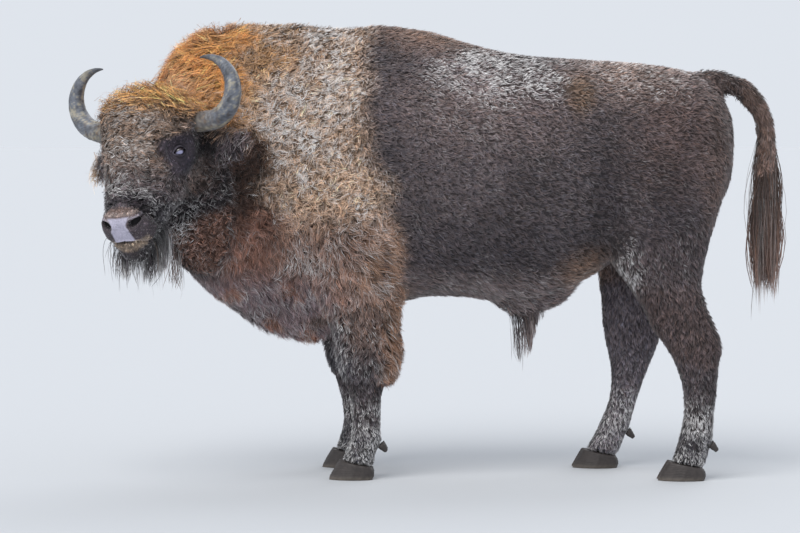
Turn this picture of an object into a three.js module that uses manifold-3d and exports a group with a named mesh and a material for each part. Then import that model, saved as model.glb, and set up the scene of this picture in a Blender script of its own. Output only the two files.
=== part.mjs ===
// A European bison bull (wisent) in winter coat, standing, at life size.
// Millimetres, +Z up. The bull faces -X with its left side towards -Y, its head is
// turned to its left, and its hooves stand on z = 0. Every outline is that of the
// coat's tips. While it is built, x = 0 is the plumb line behind the left elbow;
// the finished group is moved so that the origin is under the middle of the whole.

import * as THREE from 'three';
import { mergeVertices } from 'three/addons/utils/BufferGeometryUtils.js';
import Module from 'manifold-3d';

const wasm = await Module();
wasm.setup();

// ---------------------------------------------------------------- driving sizes

const JOINT_GAP = 0.3; // open seam between neighbouring parts
const HUMP_TOP = 1828; // top of the hump, coat included

// Head: its frame has -X along the face to the nose, +Z out of the forehead, and
// its origin midway between the horns where they leave the hair.
const HEAD_AT = new THREE.Vector3(-970, -480, 1405);
const FACE_DROP = 65; // degrees from level down to the line of the face
const HEAD_TURN = 60; // degrees the head is turned to the bull's left
const HEAD_TILT = 5.5; // degrees, left side higher

const HORN_ROOT = new THREE.Vector3(10, 0, -55); // midway between the two roots
const HORN_ROOT_HALF_SPACING = 120;
const HORN_BEND_HALF_SPACING = 243;
const HORN_BEND_RADIUS = 123;
const HORN_SWEEP = 187; // degrees of arc from the hair to the tip
const HORN_ROOT_RADIUS = 40;
const HORN_STRAIGHT_SHARE = 0.16; // of its length, before the arc begins

const EYE_AT = new THREE.Vector3(-124, 149, -26);
const EYE_RADIUS = 24;
const EYE_LOOKS = new THREE.Vector3(-0.1, 0.87, 0.48); // way that the right eye faces
const EYE_HOLLOW_DEPTH = 62;
const EYE_HOLLOW_FLARE = 34; // how much wider it is at its mouth than round the eyeball

const HOOF_LENGTH = 150;
const HOOF_TOE_HEIGHT = 78;
const HOOF_HEEL_HEIGHT = 46;
const CLEFT = 9; // between the two claws of a hoof
const HOOF_WALL = 14; // how far the toe's wall stands ahead of the hair above it
const TOE_REACH = 44; // how much further forward the toe is at the ground
const SOLE_SPREAD = 5; // how much wider each claw is at the ground

const rad = THREE.MathUtils.degToRad;
const colours = {
  coat: 0x4a3a35, mane: 0x8a5a2c, face: 0x3b2e2a, muzzle: 0x9a8f96,
  beard: 0x4d3d36, leg: 0x2f2825, horn: 0x6d7078, eye: 0x141216, hoof: 0x2b2724,
};

// ---------------------------------------------------------------- lofts

// Every number of the stations, smoothly blended at the fraction t of their run.
function between(stations, t) {
  const last = stations.length - 1;
  const start = Math.min(Math.floor(t * last), last - 1);
  const s = t * last - start;
  const [a, b, c, d] = [-1, 0, 1, 2].map((step) =>
    stations[THREE.MathUtils.clamp(start + step, 0, last)]);
  const blended = {};
  for (const key of Object.keys(b)) {
    const slope = c[key] - a[key];
    const nextSlope = d[key] - b[key];
    const rise = c[key] - b[key];
    blended[key] = b[key] + 0.5 * slope * s
      + (3 * rise - slope - 0.5 * nextSlope) * s * s
      + (0.5 * slope + 0.5 * nextSlope - 2 * rise) * s * s * s;
  }
  return blended;
}

// A closed ring round `centre`: half across it, above and below along `up`.
// ridge and keel over 1 pinch the ring to its top and bottom, under 1 fill it out.
function ring({ centre, across, up, half, above, below, ridge = 1, keel = 1, points }) {
  const corners = [];
  for (let i = 0; i < points; i += 1) {
    const angle = (2 * Math.PI * i) / points;
    const rise = Math.sin(angle);
    const side = Math.cos(angle);
    const pinch = rise > 0 ? ridge : keel;
    const reach = half * Math.sign(side) * Math.abs(side) ** pinch;
    const lift = rise * (rise > 0 ? above : below);
    corners.push(centre.clone().addScaledVector(across, reach).addScaledVector(up, lift));
  }
  return corners;
}

// A closed skin through rings of equal count, with a fan on each end.
function loft(rings) {
  const points = rings[0].length;
  const middle = (corners) => corners
    .reduce((sum, corner) => sum.add(corner), new THREE.Vector3())
    .divideScalar(points);
  const vertices = [...rings.flat(), middle(rings[0]), middle(rings.at(-1))];
  const firstHub = rings.length * points;
  const lastHub = firstHub + 1;
  const lastRing = (rings.length - 1) * points;
  const index = [];
  for (let i = 0; i < points; i += 1) {
    const j = (i + 1) % points;
    index.push(firstHub, j, i, lastHub, lastRing + i, lastRing + j);
    for (let row = 0; row < lastRing; row += points) {
      index.push(row + i, row + j, row + points + j);
      index.push(row + i, row + points + j, row + points + i);
    }
  }
  const geometry = new THREE.BufferGeometry();
  geometry.setAttribute('position', new THREE.Float32BufferAttribute(
    vertices.flatMap((vertex) => vertex.toArray()), 3));
  geometry.setIndex(index);
  return geometry;
}

// ---------------------------------------------------------------- joining and cutting

// A closed geometry as a solid, turned right side out if it was wound inwards.
function solid(geometry, matrix = new THREE.Matrix4()) {
  const bare = geometry.clone().applyMatrix4(matrix);
  bare.deleteAttribute('normal');
  bare.deleteAttribute('uv');
  const merged = mergeVertices(bare, 1e-3);
  const triVerts = new Uint32Array(merged.index.array);
  const place = merged.getAttribute('position');
  const corner = (i) => new THREE.Vector3().fromBufferAttribute(place, triVerts[i]);
  let volume = 0;
  for (let i = 0; i < triVerts.length; i += 3) {
    volume += corner(i).dot(corner(i + 1).cross(corner(i + 2)));
  }
  if (volume < 0) triVerts.reverse();
  return new wasm.Manifold(new wasm.Mesh({
    numProp: 3, vertProperties: new Float32Array(place.array), triVerts,
  }));
}

function geometryOf(body) {
  const { vertProperties, triVerts } = body.getMesh();
  const geometry = new THREE.BufferGeometry();
  geometry.setAttribute('position', new THREE.BufferAttribute(vertProperties, 3));
  geometry.setIndex(new THREE.BufferAttribute(triVerts, 1));
  geometry.computeVertexNormals();
  return geometry;
}

// A box between two corners of a frame, tipped about Y round the middle of its top.
function block(low, high, tip, grow, frame) {
  const size = high.clone().sub(low);
  const middle = low.clone().add(high).multiplyScalar(0.5);
  const box = new THREE.BoxGeometry(size.x + grow, size.y + grow, size.z + grow);
  box.translate(0, 0, -size.z / 2);
  const place = new THREE.Matrix4().makeRotationY(rad(tip))
    .setPosition(middle.x, middle.y, high.z);
  return solid(box, frame.clone().multiply(place));
}

const bull = new THREE.Group();

const SLIVER = 0.15; // no corner moves further than this when needless ones are merged

function show(name, body, colour, roughness = 0.9) {
  const material = new THREE.MeshStandardMaterial({ color: colour, roughness, metalness: 0 });
  const mesh = new THREE.Mesh(geometryOf(body.simplify(SLIVER)), material);
  mesh.name = name;
  bull.add(mesh);
}

const at = (x, y, z) => new THREE.Vector3(x, y, z);
const AXIS_X = at(1, 0, 0);
const AXIS_Y = at(0, 1, 0);
const AXIS_Z = at(0, 0, 1);

// ---------------------------------------------------------------- torso and neck

// Upright cross-sections from the throat to the buttocks. turn is how far the
// neck has swung to the left, widest the height of the greatest breadth.
const torsoStations = [
  { x: -985, y: -385, turn: 56, top: 1490, floor: 1130, widest: 1330, half: 70, ridge: 1, keel: 1 },
  { x: -910, y: -305, turn: 50, top: 1585, floor: 940, widest: 1290, half: 205, ridge: 1, keel: 1 },
  { x: -836, y: -224, turn: 41, top: 1700, floor: 815, widest: 1250, half: 256, ridge: 1, keel: 1 },
  { x: -762, y: -146, turn: 30, top: 1772, floor: 712, widest: 1220, half: 280, ridge: 1.1, keel: 1.1 },
  { x: -675, y: -82, turn: 20, top: 1810, floor: 636, widest: 1190, half: 298, ridge: 1.2, keel: 1.3 },
  { x: -560, y: -32, turn: 10, top: 1822, floor: 548, widest: 1170, half: 312, ridge: 1.3, keel: 1.6 },
  { x: -440, y: -6, turn: 3, top: HUMP_TOP, floor: 504, widest: 1150, half: 324, ridge: 1.35, keel: 1.9 },
  { x: -320, y: 0, turn: 0, top: 1817, floor: 500, widest: 1140, half: 332, ridge: 1.35, keel: 1.8 },
  { x: -190, y: 0, turn: 0, top: 1809, floor: 592, widest: 1130, half: 338, ridge: 1.3, keel: 1.3 },
  { x: -50, y: 0, turn: 0, top: 1796, floor: 664, widest: 1130, half: 344, ridge: 1.2, keel: 1 },
  { x: 110, y: 0, turn: 0, top: 1770, floor: 702, widest: 1135, half: 354, ridge: 1.08, keel: 0.9 },
  { x: 280, y: 0, turn: 0, top: 1720, floor: 698, widest: 1140, half: 368, ridge: 1, keel: 0.85 },
  { x: 460, y: 0, turn: 0, top: 1684, floor: 674, widest: 1150, half: 372, ridge: 0.95, keel: 0.85 },
  { x: 640, y: 0, turn: 0, top: 1669, floor: 706, widest: 1170, half: 356, ridge: 0.92, keel: 0.9 },
  { x: 800, y: 0, turn: 0, top: 1658, floor: 806, widest: 1200, half: 330, ridge: 0.88, keel: 0.95 },
  { x: 940, y: 0, turn: 0, top: 1649, floor: 900, widest: 1230, half: 308, ridge: 0.85, keel: 1 },
  { x: 1080, y: 0, turn: 0, top: 1631, floor: 960, widest: 1260, half: 288, ridge: 0.85, keel: 1 },
  { x: 1195, y: 0, turn: 0, top: 1600, floor: 1010, widest: 1290, half: 252, ridge: 0.9, keel: 1 },
  { x: 1278, y: 0, turn: 0, top: 1530, floor: 1070, widest: 1310, half: 190, ridge: 0.95, keel: 1 },
  { x: 1322, y: 0, turn: 0, top: 1450, floor: 1150, widest: 1320, half: 110, ridge: 1, keel: 1 },
  { x: 1336, y: 0, turn: 0, top: 1370, floor: 1260, widest: 1320, half: 35, ridge: 1, keel: 1 },
];
const TORSO_RINGS = 26;
const TORSO_POINTS = 22;

function torso() {
  const rings = [];
  for (let i = 0; i <= TORSO_RINGS; i += 1) {
    const s = between(torsoStations, i / TORSO_RINGS);
    rings.push(ring({
      centre: at(s.x, s.y, s.widest),
      across: at(Math.sin(rad(s.turn)), -Math.cos(rad(s.turn)), 0),
      up: AXIS_Z,
      half: s.half,
      above: s.top - s.widest,
      below: s.widest - s.floor,
      ridge: s.ridge,
      keel: s.keel,
      points: TORSO_POINTS,
    }));
  }
  return solid(loft(rings));
}

// ---------------------------------------------------------------- limbs

// Level cross-sections of a leg from inside the body to the coronet, front and
// rear being their x, inner and outer their distance from the bull's mid-plane.
const LEG_RINGS = 14;
const LEG_POINTS = 12;

const foreLeftStations = [
  { z: 1240, front: -380, rear: -60, inner: 60, outer: 275 },
  { z: 1080, front: -405, rear: 0, inner: 70, outer: 345 },
  { z: 900, front: -405, rear: 32, inner: 80, outer: 362 },
  { z: 760, front: -378, rear: 14, inner: 95, outer: 352 },
  { z: 670, front: -340, rear: -18, inner: 105, outer: 340 },
  { z: 585, front: -302, rear: -16, inner: 112, outer: 328 },
  { z: 500, front: -258, rear: -8, inner: 118, outer: 318 },
  { z: 425, front: -234, rear: -26, inner: 130, outer: 302 },
  { z: 365, front: -214, rear: -60, inner: 146, outer: 288 },
  { z: 300, front: -200, rear: -68, inner: 156, outer: 280 },
  { z: 215, front: -194, rear: -74, inner: 158, outer: 278 },
  { z: 155, front: -204, rear: -62, inner: 150, outer: 284 },
  { z: 110, front: -220, rear: -90, inner: 152, outer: 282 },
  { z: 66, front: -236, rear: -98, inner: 148, outer: 288 },
];

const hindLeftStations = [
  { z: 1420, front: 860, rear: 1300, inner: 50, outer: 235 },
  { z: 1260, front: 800, rear: 1326, inner: 40, outer: 292 },
  { z: 1110, front: 775, rear: 1286, inner: 45, outer: 326 },
  { z: 960, front: 780, rear: 1236, inner: 60, outer: 330 },
  { z: 850, front: 822, rear: 1208, inner: 84, outer: 322 },
  { z: 760, front: 892, rear: 1194, inner: 108, outer: 318 },
  { z: 670, front: 950, rear: 1220, inner: 134, outer: 316 },
  { z: 590, front: 985, rear: 1258, inner: 152, outer: 316 },
  { z: 530, front: 1034, rear: 1280, inner: 166, outer: 318 },
  { z: 455, front: 1076, rear: 1262, inner: 180, outer: 318 },
  { z: 365, front: 1106, rear: 1255, inner: 188, outer: 314 },
  { z: 265, front: 1112, rear: 1244, inner: 190, outer: 312 },
  { z: 160, front: 1092, rear: 1238, inner: 182, outer: 318 },
  { z: 110, front: 1078, rear: 1222, inner: 184, outer: 316 },
  { z: 66, front: 1058, rear: 1206, inner: 180, outer: 320 },
];

// The right legs have the same build; each station is slid forward by the step
// that the leg takes, and drawn in or out to its own track.
const foreRightStations = foreLeftStations.map((station) => {
  const step = -56 * THREE.MathUtils.smoothstep(900 - station.z, 0, 400)
    + 20 * THREE.MathUtils.smoothstep(400 - station.z, 0, 260);
  return { ...station, front: station.front + step, rear: station.rear + step };
});

const hindRightStations = [
  { z: 1420, front: 850, rear: 1290, inner: 50, outer: 235 },
  { z: 1260, front: 785, rear: 1325, inner: 40, outer: 292 },
  { z: 1110, front: 755, rear: 1270, inner: 45, outer: 324 },
  { z: 960, front: 752, rear: 1200, inner: 60, outer: 325 },
  { z: 850, front: 770, rear: 1148, inner: 80, outer: 312 },
  { z: 760, front: 800, rear: 1108, inner: 92, outer: 300 },
  { z: 670, front: 812, rear: 1082, inner: 104, outer: 288 },
  { z: 590, front: 816, rear: 1070, inner: 116, outer: 280 },
  { z: 525, front: 826, rear: 1066, inner: 124, outer: 276 },
  { z: 455, front: 843, rear: 1040, inner: 134, outer: 272 },
  { z: 370, front: 856, rear: 1004, inner: 140, outer: 266 },
  { z: 270, front: 846, rear: 970, inner: 142, outer: 264 },
  { z: 165, front: 802, rear: 942, inner: 134, outer: 270 },
  { z: 112, front: 774, rear: 916, inner: 136, outer: 268 },
  { z: 66, front: 746, rear: 892, inner: 132, outer: 272 },
];

// The slope of a hoof's coronet, from the toe's wall down to the heel.
const coronetHeight = (behindToe) => THREE.MathUtils.lerp(
  HOOF_TOE_HEIGHT, HOOF_HEEL_HEIGHT, behindToe / HOOF_LENGTH);

// A leg on one side (-1 left, +1 right), ending on the sloped coronet of its hoof.
function leg(stations, side) {
  const rings = [];
  for (let i = 0; i <= LEG_RINGS; i += 1) {
    const s = between(stations, i / LEG_RINGS);
    rings.push(ring({
      centre: at((s.front + s.rear) / 2, (side * (s.inner + s.outer)) / 2, s.z),
      across: AXIS_X,
      up: AXIS_Y,
      half: (s.rear - s.front) / 2,
      above: (s.outer - s.inner) / 2,
      below: (s.outer - s.inner) / 2,
      points: LEG_POINTS,
    }));
  }
  const foot = stations.at(-1);
  for (const corner of rings.at(-1)) {
    corner.z = coronetHeight(corner.x - foot.front + HOOF_WALL) + JOINT_GAP;
  }
  return solid(loft(rings));
}

// One claw of a cloven hoof: a flat sole, a sloped toe wall, a flat inner side.
const CLAW_RINGS = 3;
const CLAW_POINTS = 12;

function claw(foot, side, outward) {
  const middle = (side * (foot.inner + foot.outer)) / 2;
  const breadth = (foot.outer - foot.inner - CLEFT) / 2 + 4;
  const rings = [];
  for (let level = 0; level <= CLAW_RINGS; level += 1) {
    const rise = level / CLAW_RINGS;
    const toe = foot.front - TOE_REACH * (1 - rise) - 4;
    const heel = foot.rear - 10 + 8 * Math.sin(rise * Math.PI);
    const length = (heel - toe) / 2;
    const corners = [];
    for (let i = 0; i < CLAW_POINTS; i += 1) {
      const angle = (2 * Math.PI * i) / CLAW_POINTS;
      const along = Math.cos(angle);
      const x = (toe + heel) / 2 + length * along;
      const bulge = 0.5 + 0.5 * Math.sin(angle);
      const narrowing = 1 - 0.34 * Math.max(0, -along) ** 2 * (1 - 0.4 * rise);
      const y = CLEFT / 2 + (breadth + SOLE_SPREAD * (1 - rise)) * bulge * narrowing;
      const top = coronetHeight(x - foot.front + HOOF_WALL);
      corners.push(at(x, middle + outward * y, rise * top));
    }
    rings.push(corners);
  }
  return solid(loft(rings));
}

const DEWCLAW_RADIUS = 18; // at its root
const DEWCLAW_SPACING = 31; // from the middle of the foot

// One of the two small claws behind the fetlock, set into the hair.
function dewclaw(foot, side, outward, grow = 0) {
  const middle = (side * (foot.inner + foot.outer)) / 2;
  const rings = [];
  for (let i = 0; i <= 2; i += 1) {
    const run = i / 2;
    const radius = DEWCLAW_RADIUS * (1 - run / 2) + grow;
    rings.push(ring({
      centre: at(foot.rear - 14 + 24 * run, middle + outward * DEWCLAW_SPACING, foot.z - 18 - 26 * run),
      across: AXIS_Y,
      up: at(0.73, 0, 0.68),
      half: radius,
      above: radius,
      below: radius,
      points: 8,
    }));
  }
  return solid(loft(rings));
}

// ---------------------------------------------------------------- head

const headMatrix = new THREE.Matrix4()
  .makeRotationFromEuler(new THREE.Euler(rad(-HEAD_TILT), rad(-FACE_DROP), rad(HEAD_TURN), 'ZXY'))
  .setPosition(HEAD_AT);

// Cross-sections along the face, from the tuft on the poll past the lips to the chin.
const headStations = [
  { x: 136, brow: 62, throat: -30, widest: 20, half: 60, ridge: 1, keel: 1 },
  { x: 110, brow: 112, throat: -150, widest: -10, half: 156, ridge: 0.8, keel: 1 },
  { x: 58, brow: 132, throat: -240, widest: -20, half: 202, ridge: 0.75, keel: 1 },
  { x: 0, brow: 134, throat: -285, widest: -25, half: 216, ridge: 0.7, keel: 0.95 },
  { x: -60, brow: 128, throat: -305, widest: -30, half: 206, ridge: 0.7, keel: 0.9 },
  { x: -115, brow: 118, throat: -305, widest: -35, half: 192, ridge: 0.65, keel: 0.9 },
  { x: -180, brow: 110, throat: -285, widest: -30, half: 172, ridge: 0.65, keel: 0.9 },
  { x: -250, brow: 102, throat: -240, widest: -20, half: 150, ridge: 0.65, keel: 0.9 },
  { x: -320, brow: 95, throat: -190, widest: -10, half: 130, ridge: 0.65, keel: 0.85 },
  { x: -385, brow: 90, throat: -162, widest: 0, half: 116, ridge: 0.65, keel: 0.8 },
  { x: -440, brow: 83, throat: -144, widest: 5, half: 112, ridge: 0.65, keel: 0.8 },
  { x: -478, brow: 56, throat: -138, widest: -6, half: 97, ridge: 0.75, keel: 0.8 },
  { x: -506, brow: 6, throat: -128, widest: -46, half: 72, ridge: 0.85, keel: 0.9 },
  { x: -532, brow: -20, throat: -118, widest: -66, half: 56, ridge: 1, keel: 1 },
  { x: -548, brow: -46, throat: -96, widest: -70, half: 26, ridge: 1, keel: 1 },
];
const HEAD_RINGS = 20;
const HEAD_POINTS = 20;

function skull() {
  const rings = [];
  for (let i = 0; i <= HEAD_RINGS; i += 1) {
    const s = between(headStations, i / HEAD_RINGS);
    rings.push(ring({
      centre: at(s.x, 0, s.widest),
      across: AXIS_Y,
      up: AXIS_Z,
      half: s.half,
      above: s.brow - s.widest,
      below: s.widest - s.throat,
      ridge: s.ridge,
      keel: s.keel,
      points: HEAD_POINTS,
    }));
  }
  return solid(loft(rings), headMatrix);
}

const HORN_RINGS = 13;

// A horn: a short straight root, then an even arc out, up and in to its point.
function horn(side, grow = 0) {
  const up = at(Math.sin(rad(FACE_DROP)), 0, Math.cos(rad(FACE_DROP)));
  const rings = [];
  for (let i = 0; i <= HORN_RINGS; i += 1) {
    const run = i / HORN_RINGS;
    const bend = rad(HORN_SWEEP)
      * Math.max(0, (run - HORN_STRAIGHT_SHARE) / (1 - HORN_STRAIGHT_SHARE));
    const root = Math.min(0, (run - HORN_STRAIGHT_SHARE) / HORN_STRAIGHT_SHARE)
      * (HORN_BEND_HALF_SPACING - HORN_ROOT_HALF_SPACING);
    const deeper = i === 0 ? grow : 0;
    const outward = HORN_BEND_HALF_SPACING + root - deeper + HORN_BEND_RADIUS * Math.sin(bend);
    const rise = HORN_BEND_RADIUS * (1 - Math.cos(bend));
    const radius = HORN_ROOT_RADIUS * (1 - 0.93 * run ** 2.6) + grow;
    rings.push(ring({
      centre: HORN_ROOT.clone().addScaledVector(up, rise).addScaledVector(AXIS_Y, side * outward),
      across: up.clone().multiplyScalar(Math.cos(bend))
        .addScaledVector(AXIS_Y, -side * Math.sin(bend)),
      up: new THREE.Vector3().crossVectors(up, AXIS_Y),
      half: radius,
      above: radius,
      below: radius,
      points: 10,
    }));
  }
  return solid(loft(rings), headMatrix);
}

// An ear: a hairy leaf that points sideways from behind the horn and droops a little.
const EAR_AT = at(-36, 186, -128);
const EAR_LENGTH = 214;
const EAR_DROOP = 46; // how much lower the tip lies than the base
const EAR_RIGHT_LAID_BACK = 95; // how far the right tip is swung to the rear
const EAR_HALF_WIDTH = 70;
const EAR_HALF_THICKNESS = 28;

function ear(side, grow = 0) {
  const layBack = side < 0 ? 0 : EAR_RIGHT_LAID_BACK;
  const rings = [];
  for (let i = 0; i <= 7; i += 1) {
    const run = i / 7;
    const leaf = Math.sin(Math.PI * (0.16 + 0.8 * run)) ** 0.7;
    rings.push(ring({
      centre: at(
        EAR_AT.x - EAR_DROOP * run,
        side * (EAR_AT.y + EAR_LENGTH * run - (i === 0 ? grow : 0)),
        EAR_AT.z - layBack * run,
      ),
      across: AXIS_X,
      up: AXIS_Z,
      half: EAR_HALF_WIDTH * leaf + grow,
      above: EAR_HALF_THICKNESS * leaf + grow,
      below: EAR_HALF_THICKNESS * leaf + grow,
      points: 12,
    }));
  }
  return solid(loft(rings), headMatrix);
}

function eyeball(side, grow = 0) {
  const ball = new THREE.SphereGeometry(EYE_RADIUS + grow, 12, 8);
  const place = headMatrix.clone().multiply(
    new THREE.Matrix4().makeTranslation(EYE_AT.x, side * EYE_AT.y, EYE_AT.z));
  return solid(ball, place);
}

// The hollow that an eye looks out of, flaring from the eyeball to the curls around.
function eyeHollow(side) {
  const outward = at(EYE_LOOKS.x, side * EYE_LOOKS.y, EYE_LOOKS.z).normalize();
  const rings = [];
  for (let i = 0; i <= 3; i += 1) {
    const run = i / 3;
    const radius = EYE_RADIUS + 2 + EYE_HOLLOW_FLARE * run ** 1.4;
    rings.push(ring({
      centre: at(EYE_AT.x, side * EYE_AT.y, EYE_AT.z)
        .addScaledVector(outward, EYE_HOLLOW_DEPTH * run),
      across: AXIS_X,
      up: new THREE.Vector3().crossVectors(outward, AXIS_X).normalize(),
      half: radius,
      above: radius,
      below: radius,
      points: 10,
    }));
  }
  return solid(loft(rings), headMatrix);
}

const BEARD_TOP = at(-962, -470, 985);
const BEARD_LENGTH = 228;
const BEARD_HALF_WIDTH = 84;
const BEARD_HALF_DEPTH = 132; // from the chin back to the throat

// The beard hangs straight down from the chin and the throat.
function beard(grow = 0) {
  const forward = at(-Math.cos(rad(HEAD_TURN)), -Math.sin(rad(HEAD_TURN)), 0);
  const across = at(-forward.y, forward.x, 0);
  const rings = [];
  for (let i = 0; i <= 7; i += 1) {
    const run = i / 7;
    const full = Math.sqrt(1 - 0.93 * run ** 2.2);
    rings.push(ring({
      centre: BEARD_TOP.clone().addScaledVector(AXIS_Z, (i === 0 ? grow : 0) - BEARD_LENGTH * run),
      across,
      up: forward,
      half: BEARD_HALF_WIDTH * full + grow,
      above: BEARD_HALF_DEPTH * full + grow,
      below: BEARD_HALF_DEPTH * full + grow,
      points: 14,
    }));
  }
  return solid(loft(rings));
}

// ---------------------------------------------------------------- tail and sheath

const tailStations = [
  { x: 1150, z: 1560, half: 42 },
  { x: 1235, z: 1580, half: 50 },
  { x: 1318, z: 1560, half: 48 },
  { x: 1392, z: 1514, half: 42 },
  { x: 1440, z: 1448, half: 37 },
  { x: 1464, z: 1365, half: 35 },
  { x: 1466, z: 1270, half: 38 },
  { x: 1462, z: 1180, half: 46 },
  { x: 1456, z: 1080, half: 56 },
  { x: 1450, z: 980, half: 62 },
  { x: 1444, z: 880, half: 56 },
  { x: 1438, z: 790, half: 38 },
  { x: 1432, z: 728, half: 12 },
];
const TAIL_RINGS = 19;

function tail() {
  const rings = [];
  for (let i = 0; i <= TAIL_RINGS; i += 1) {
    const run = i / TAIL_RINGS;
    const here = between(tailStations, run);
    const ahead = between(tailStations, Math.min(1, run + 0.01));
    const behind = between(tailStations, Math.max(0, run - 0.01));
    const along = at(ahead.x - behind.x, 0, ahead.z - behind.z).normalize();
    rings.push(ring({
      centre: at(here.x, 0, here.z),
      across: new THREE.Vector3().crossVectors(along, AXIS_Y),
      up: AXIS_Y,
      half: here.half,
      above: here.half * 0.92,
      below: here.half * 0.92,
      points: 12,
    }));
  }
  return solid(loft(rings));
}

// The sheath lies under the rear of the belly, with a tassel of long hair.
const sheathStations = [
  { x: 330, z: 740, half: 40, deep: 40 },
  { x: 430, z: 715, half: 78, deep: 84 },
  { x: 520, z: 712, half: 84, deep: 90 },
  { x: 620, z: 732, half: 82, deep: 78 },
  { x: 700, z: 790, half: 76, deep: 70 },
  { x: 740, z: 840, half: 60, deep: 40 },
];

function sheath() {
  const rings = [];
  for (let i = 0; i <= 10; i += 1) {
    const s = between(sheathStations, i / 10);
    rings.push(ring({
      centre: at(s.x, 0, s.z),
      across: AXIS_Y,
      up: AXIS_Z,
      half: s.half,
      above: s.deep,
      below: s.deep,
      points: 14,
    }));
  }
  return solid(loft(rings));
}

const TASSEL_TOP = at(478, 0, 668);
const TASSEL_LENGTH = 236;

function tassel() {
  const rings = [];
  for (let i = 0; i <= 6; i += 1) {
    const run = i / 6;
    const full = 1 - 0.9 * run ** 1.3;
    rings.push(ring({
      centre: at(
        TASSEL_TOP.x - 18 * Math.sin(run * 3) + 22 * run,
        TASSEL_TOP.y,
        TASSEL_TOP.z - TASSEL_LENGTH * run,
      ),
      across: AXIS_X,
      up: AXIS_Y,
      half: 46 * full,
      above: 34 * full,
      below: 34 * full,
      points: 10,
    }));
  }
  return solid(loft(rings));
}

// ---------------------------------------------------------------- assembly

let flesh = torso().add(skull()).add(tail()).add(sheath()).add(tassel());
const legs = [
  { name: 'foreleg_left', stations: foreLeftStations, side: -1 },
  { name: 'foreleg_right', stations: foreRightStations, side: 1 },
  { name: 'hindleg_left', stations: hindLeftStations, side: -1 },
  { name: 'hindleg_right', stations: hindRightStations, side: 1 },
];
for (const { stations, side } of legs) flesh = flesh.add(leg(stations, side));

// Takes the flesh inside a box away as a part of its own, leaving an open seam.
function cutOut(name, colour, low, high, tip = 0, frame = new THREE.Matrix4()) {
  show(name, flesh.intersect(block(low, high, tip, 0, frame)), colour);
  flesh = flesh.subtract(block(low, high, tip, 2 * JOINT_GAP, frame));
}

for (const side of [-1, 1]) {
  const word = side < 0 ? 'left' : 'right';
  show(`eye_${word}`, eyeball(side), colours.eye, 0.15);
  show(`horn_${word}`, horn(side), colours.horn, 0.55);
  show(`ear_${word}`, ear(side), colours.face);
  flesh = flesh.subtract(eyeball(side, JOINT_GAP))
    .subtract(eyeHollow(side))
    .subtract(horn(side, JOINT_GAP))
    .subtract(ear(side, JOINT_GAP));
}
show('beard', beard(), colours.beard);
flesh = flesh.subtract(beard(JOINT_GAP));

for (const { name, stations, side } of legs) {
  const foot = stations.at(-1);
  for (const outward of [-1, 1]) {
    const word = outward === side ? 'outer' : 'inner';
    show(`${name}_hoof_${word}`, claw(foot, side, outward), colours.hoof, 0.5);
    const fetlock = stations.at(-3);
    show(`${name}_dewclaw_${word}`, dewclaw(fetlock, side, outward), colours.hoof, 0.5);
    flesh = flesh.subtract(dewclaw(fetlock, side, outward, JOINT_GAP));
  }
}

const TAIL_PARTED_AT = 1350; // plane behind the rump where the tail hangs free
const DOCK_END = 1190; // height where the tail's flesh ends and its long hair goes on

// The head is parted from the neck behind the poll and the angles of the jaw.
const napeMatrix = headMatrix.clone()
  .multiply(new THREE.Matrix4().makeTranslation(130, 0, -120))
  .multiply(new THREE.Matrix4().makeRotationY(rad(-36)));
cutOut('head', colours.face, at(-900, -500, 0), at(300, 500, 900), 0, napeMatrix);
cutOut('neck', colours.mane, at(-1700, -900, 200), at(-540, 600, 2100), 4);
cutOut('tail_tuft', colours.coat, at(TAIL_PARTED_AT, -200, 600), at(1600, 200, DOCK_END));
cutOut('tail', colours.coat, at(TAIL_PARTED_AT, -200, 1100), at(1600, 200, 1700));
cutOut('sheath_tuft', colours.coat, at(400, -90, 300), at(580, 90, 610));

// Each leg is parted at the fetlock, at the carpus or hock, and from the trunk:
// the height of each cut, how its plane is tipped, and the span it reaches over.
const LEG_OUTSIDE = 500;
const FORELEG_INSIDE = 92; // how near the mid-plane a foreleg's cuts come
const HINDLEG_INSIDE = 34;
const foreCuts = [
  { part: 'foot', z: 185, tip: 0, front: -520, rear: 140 },
  { part: 'cannon', z: 400, tip: 0, front: -520, rear: 140 },
  { part: 'upper', z: 690, tip: -22, front: -420, rear: 24 },
];
const hindCuts = [
  { part: 'foot', z: 190, tip: 0, front: 550, rear: 1600 },
  { part: 'cannon', z: 470, tip: 12, front: 550, rear: 1600 },
  { part: 'shank', z: 765, tip: 0, front: 765, rear: 1600 },
  { part: 'thigh', z: 1010, tip: -20, front: 752, rear: 1600 },
];
for (const { name, side } of legs) {
  const fore = name.startsWith('fore');
  const inside = fore ? FORELEG_INSIDE : HINDLEG_INSIDE;
  for (const { part, z, tip, front, rear } of fore ? foreCuts : hindCuts) {
    const low = at(front, side < 0 ? -LEG_OUTSIDE : inside, z - 500);
    const high = at(rear, side < 0 ? -inside : LEG_OUTSIDE, z);
    cutOut(`${name}_${part}`, colours.leg, low, high, tip);
  }
}
show('trunk', flesh, colours.coat);

const box = new THREE.Box3().setFromObject(bull);
const centre = box.getCenter(new THREE.Vector3());
bull.position.set(-centre.x, -centre.y, 0);
export default bull;
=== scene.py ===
import math

import bmesh
import bpy
import numpy as np
from mathutils import Matrix, Vector
from mathutils.bvhtree import BVHTree


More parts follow.
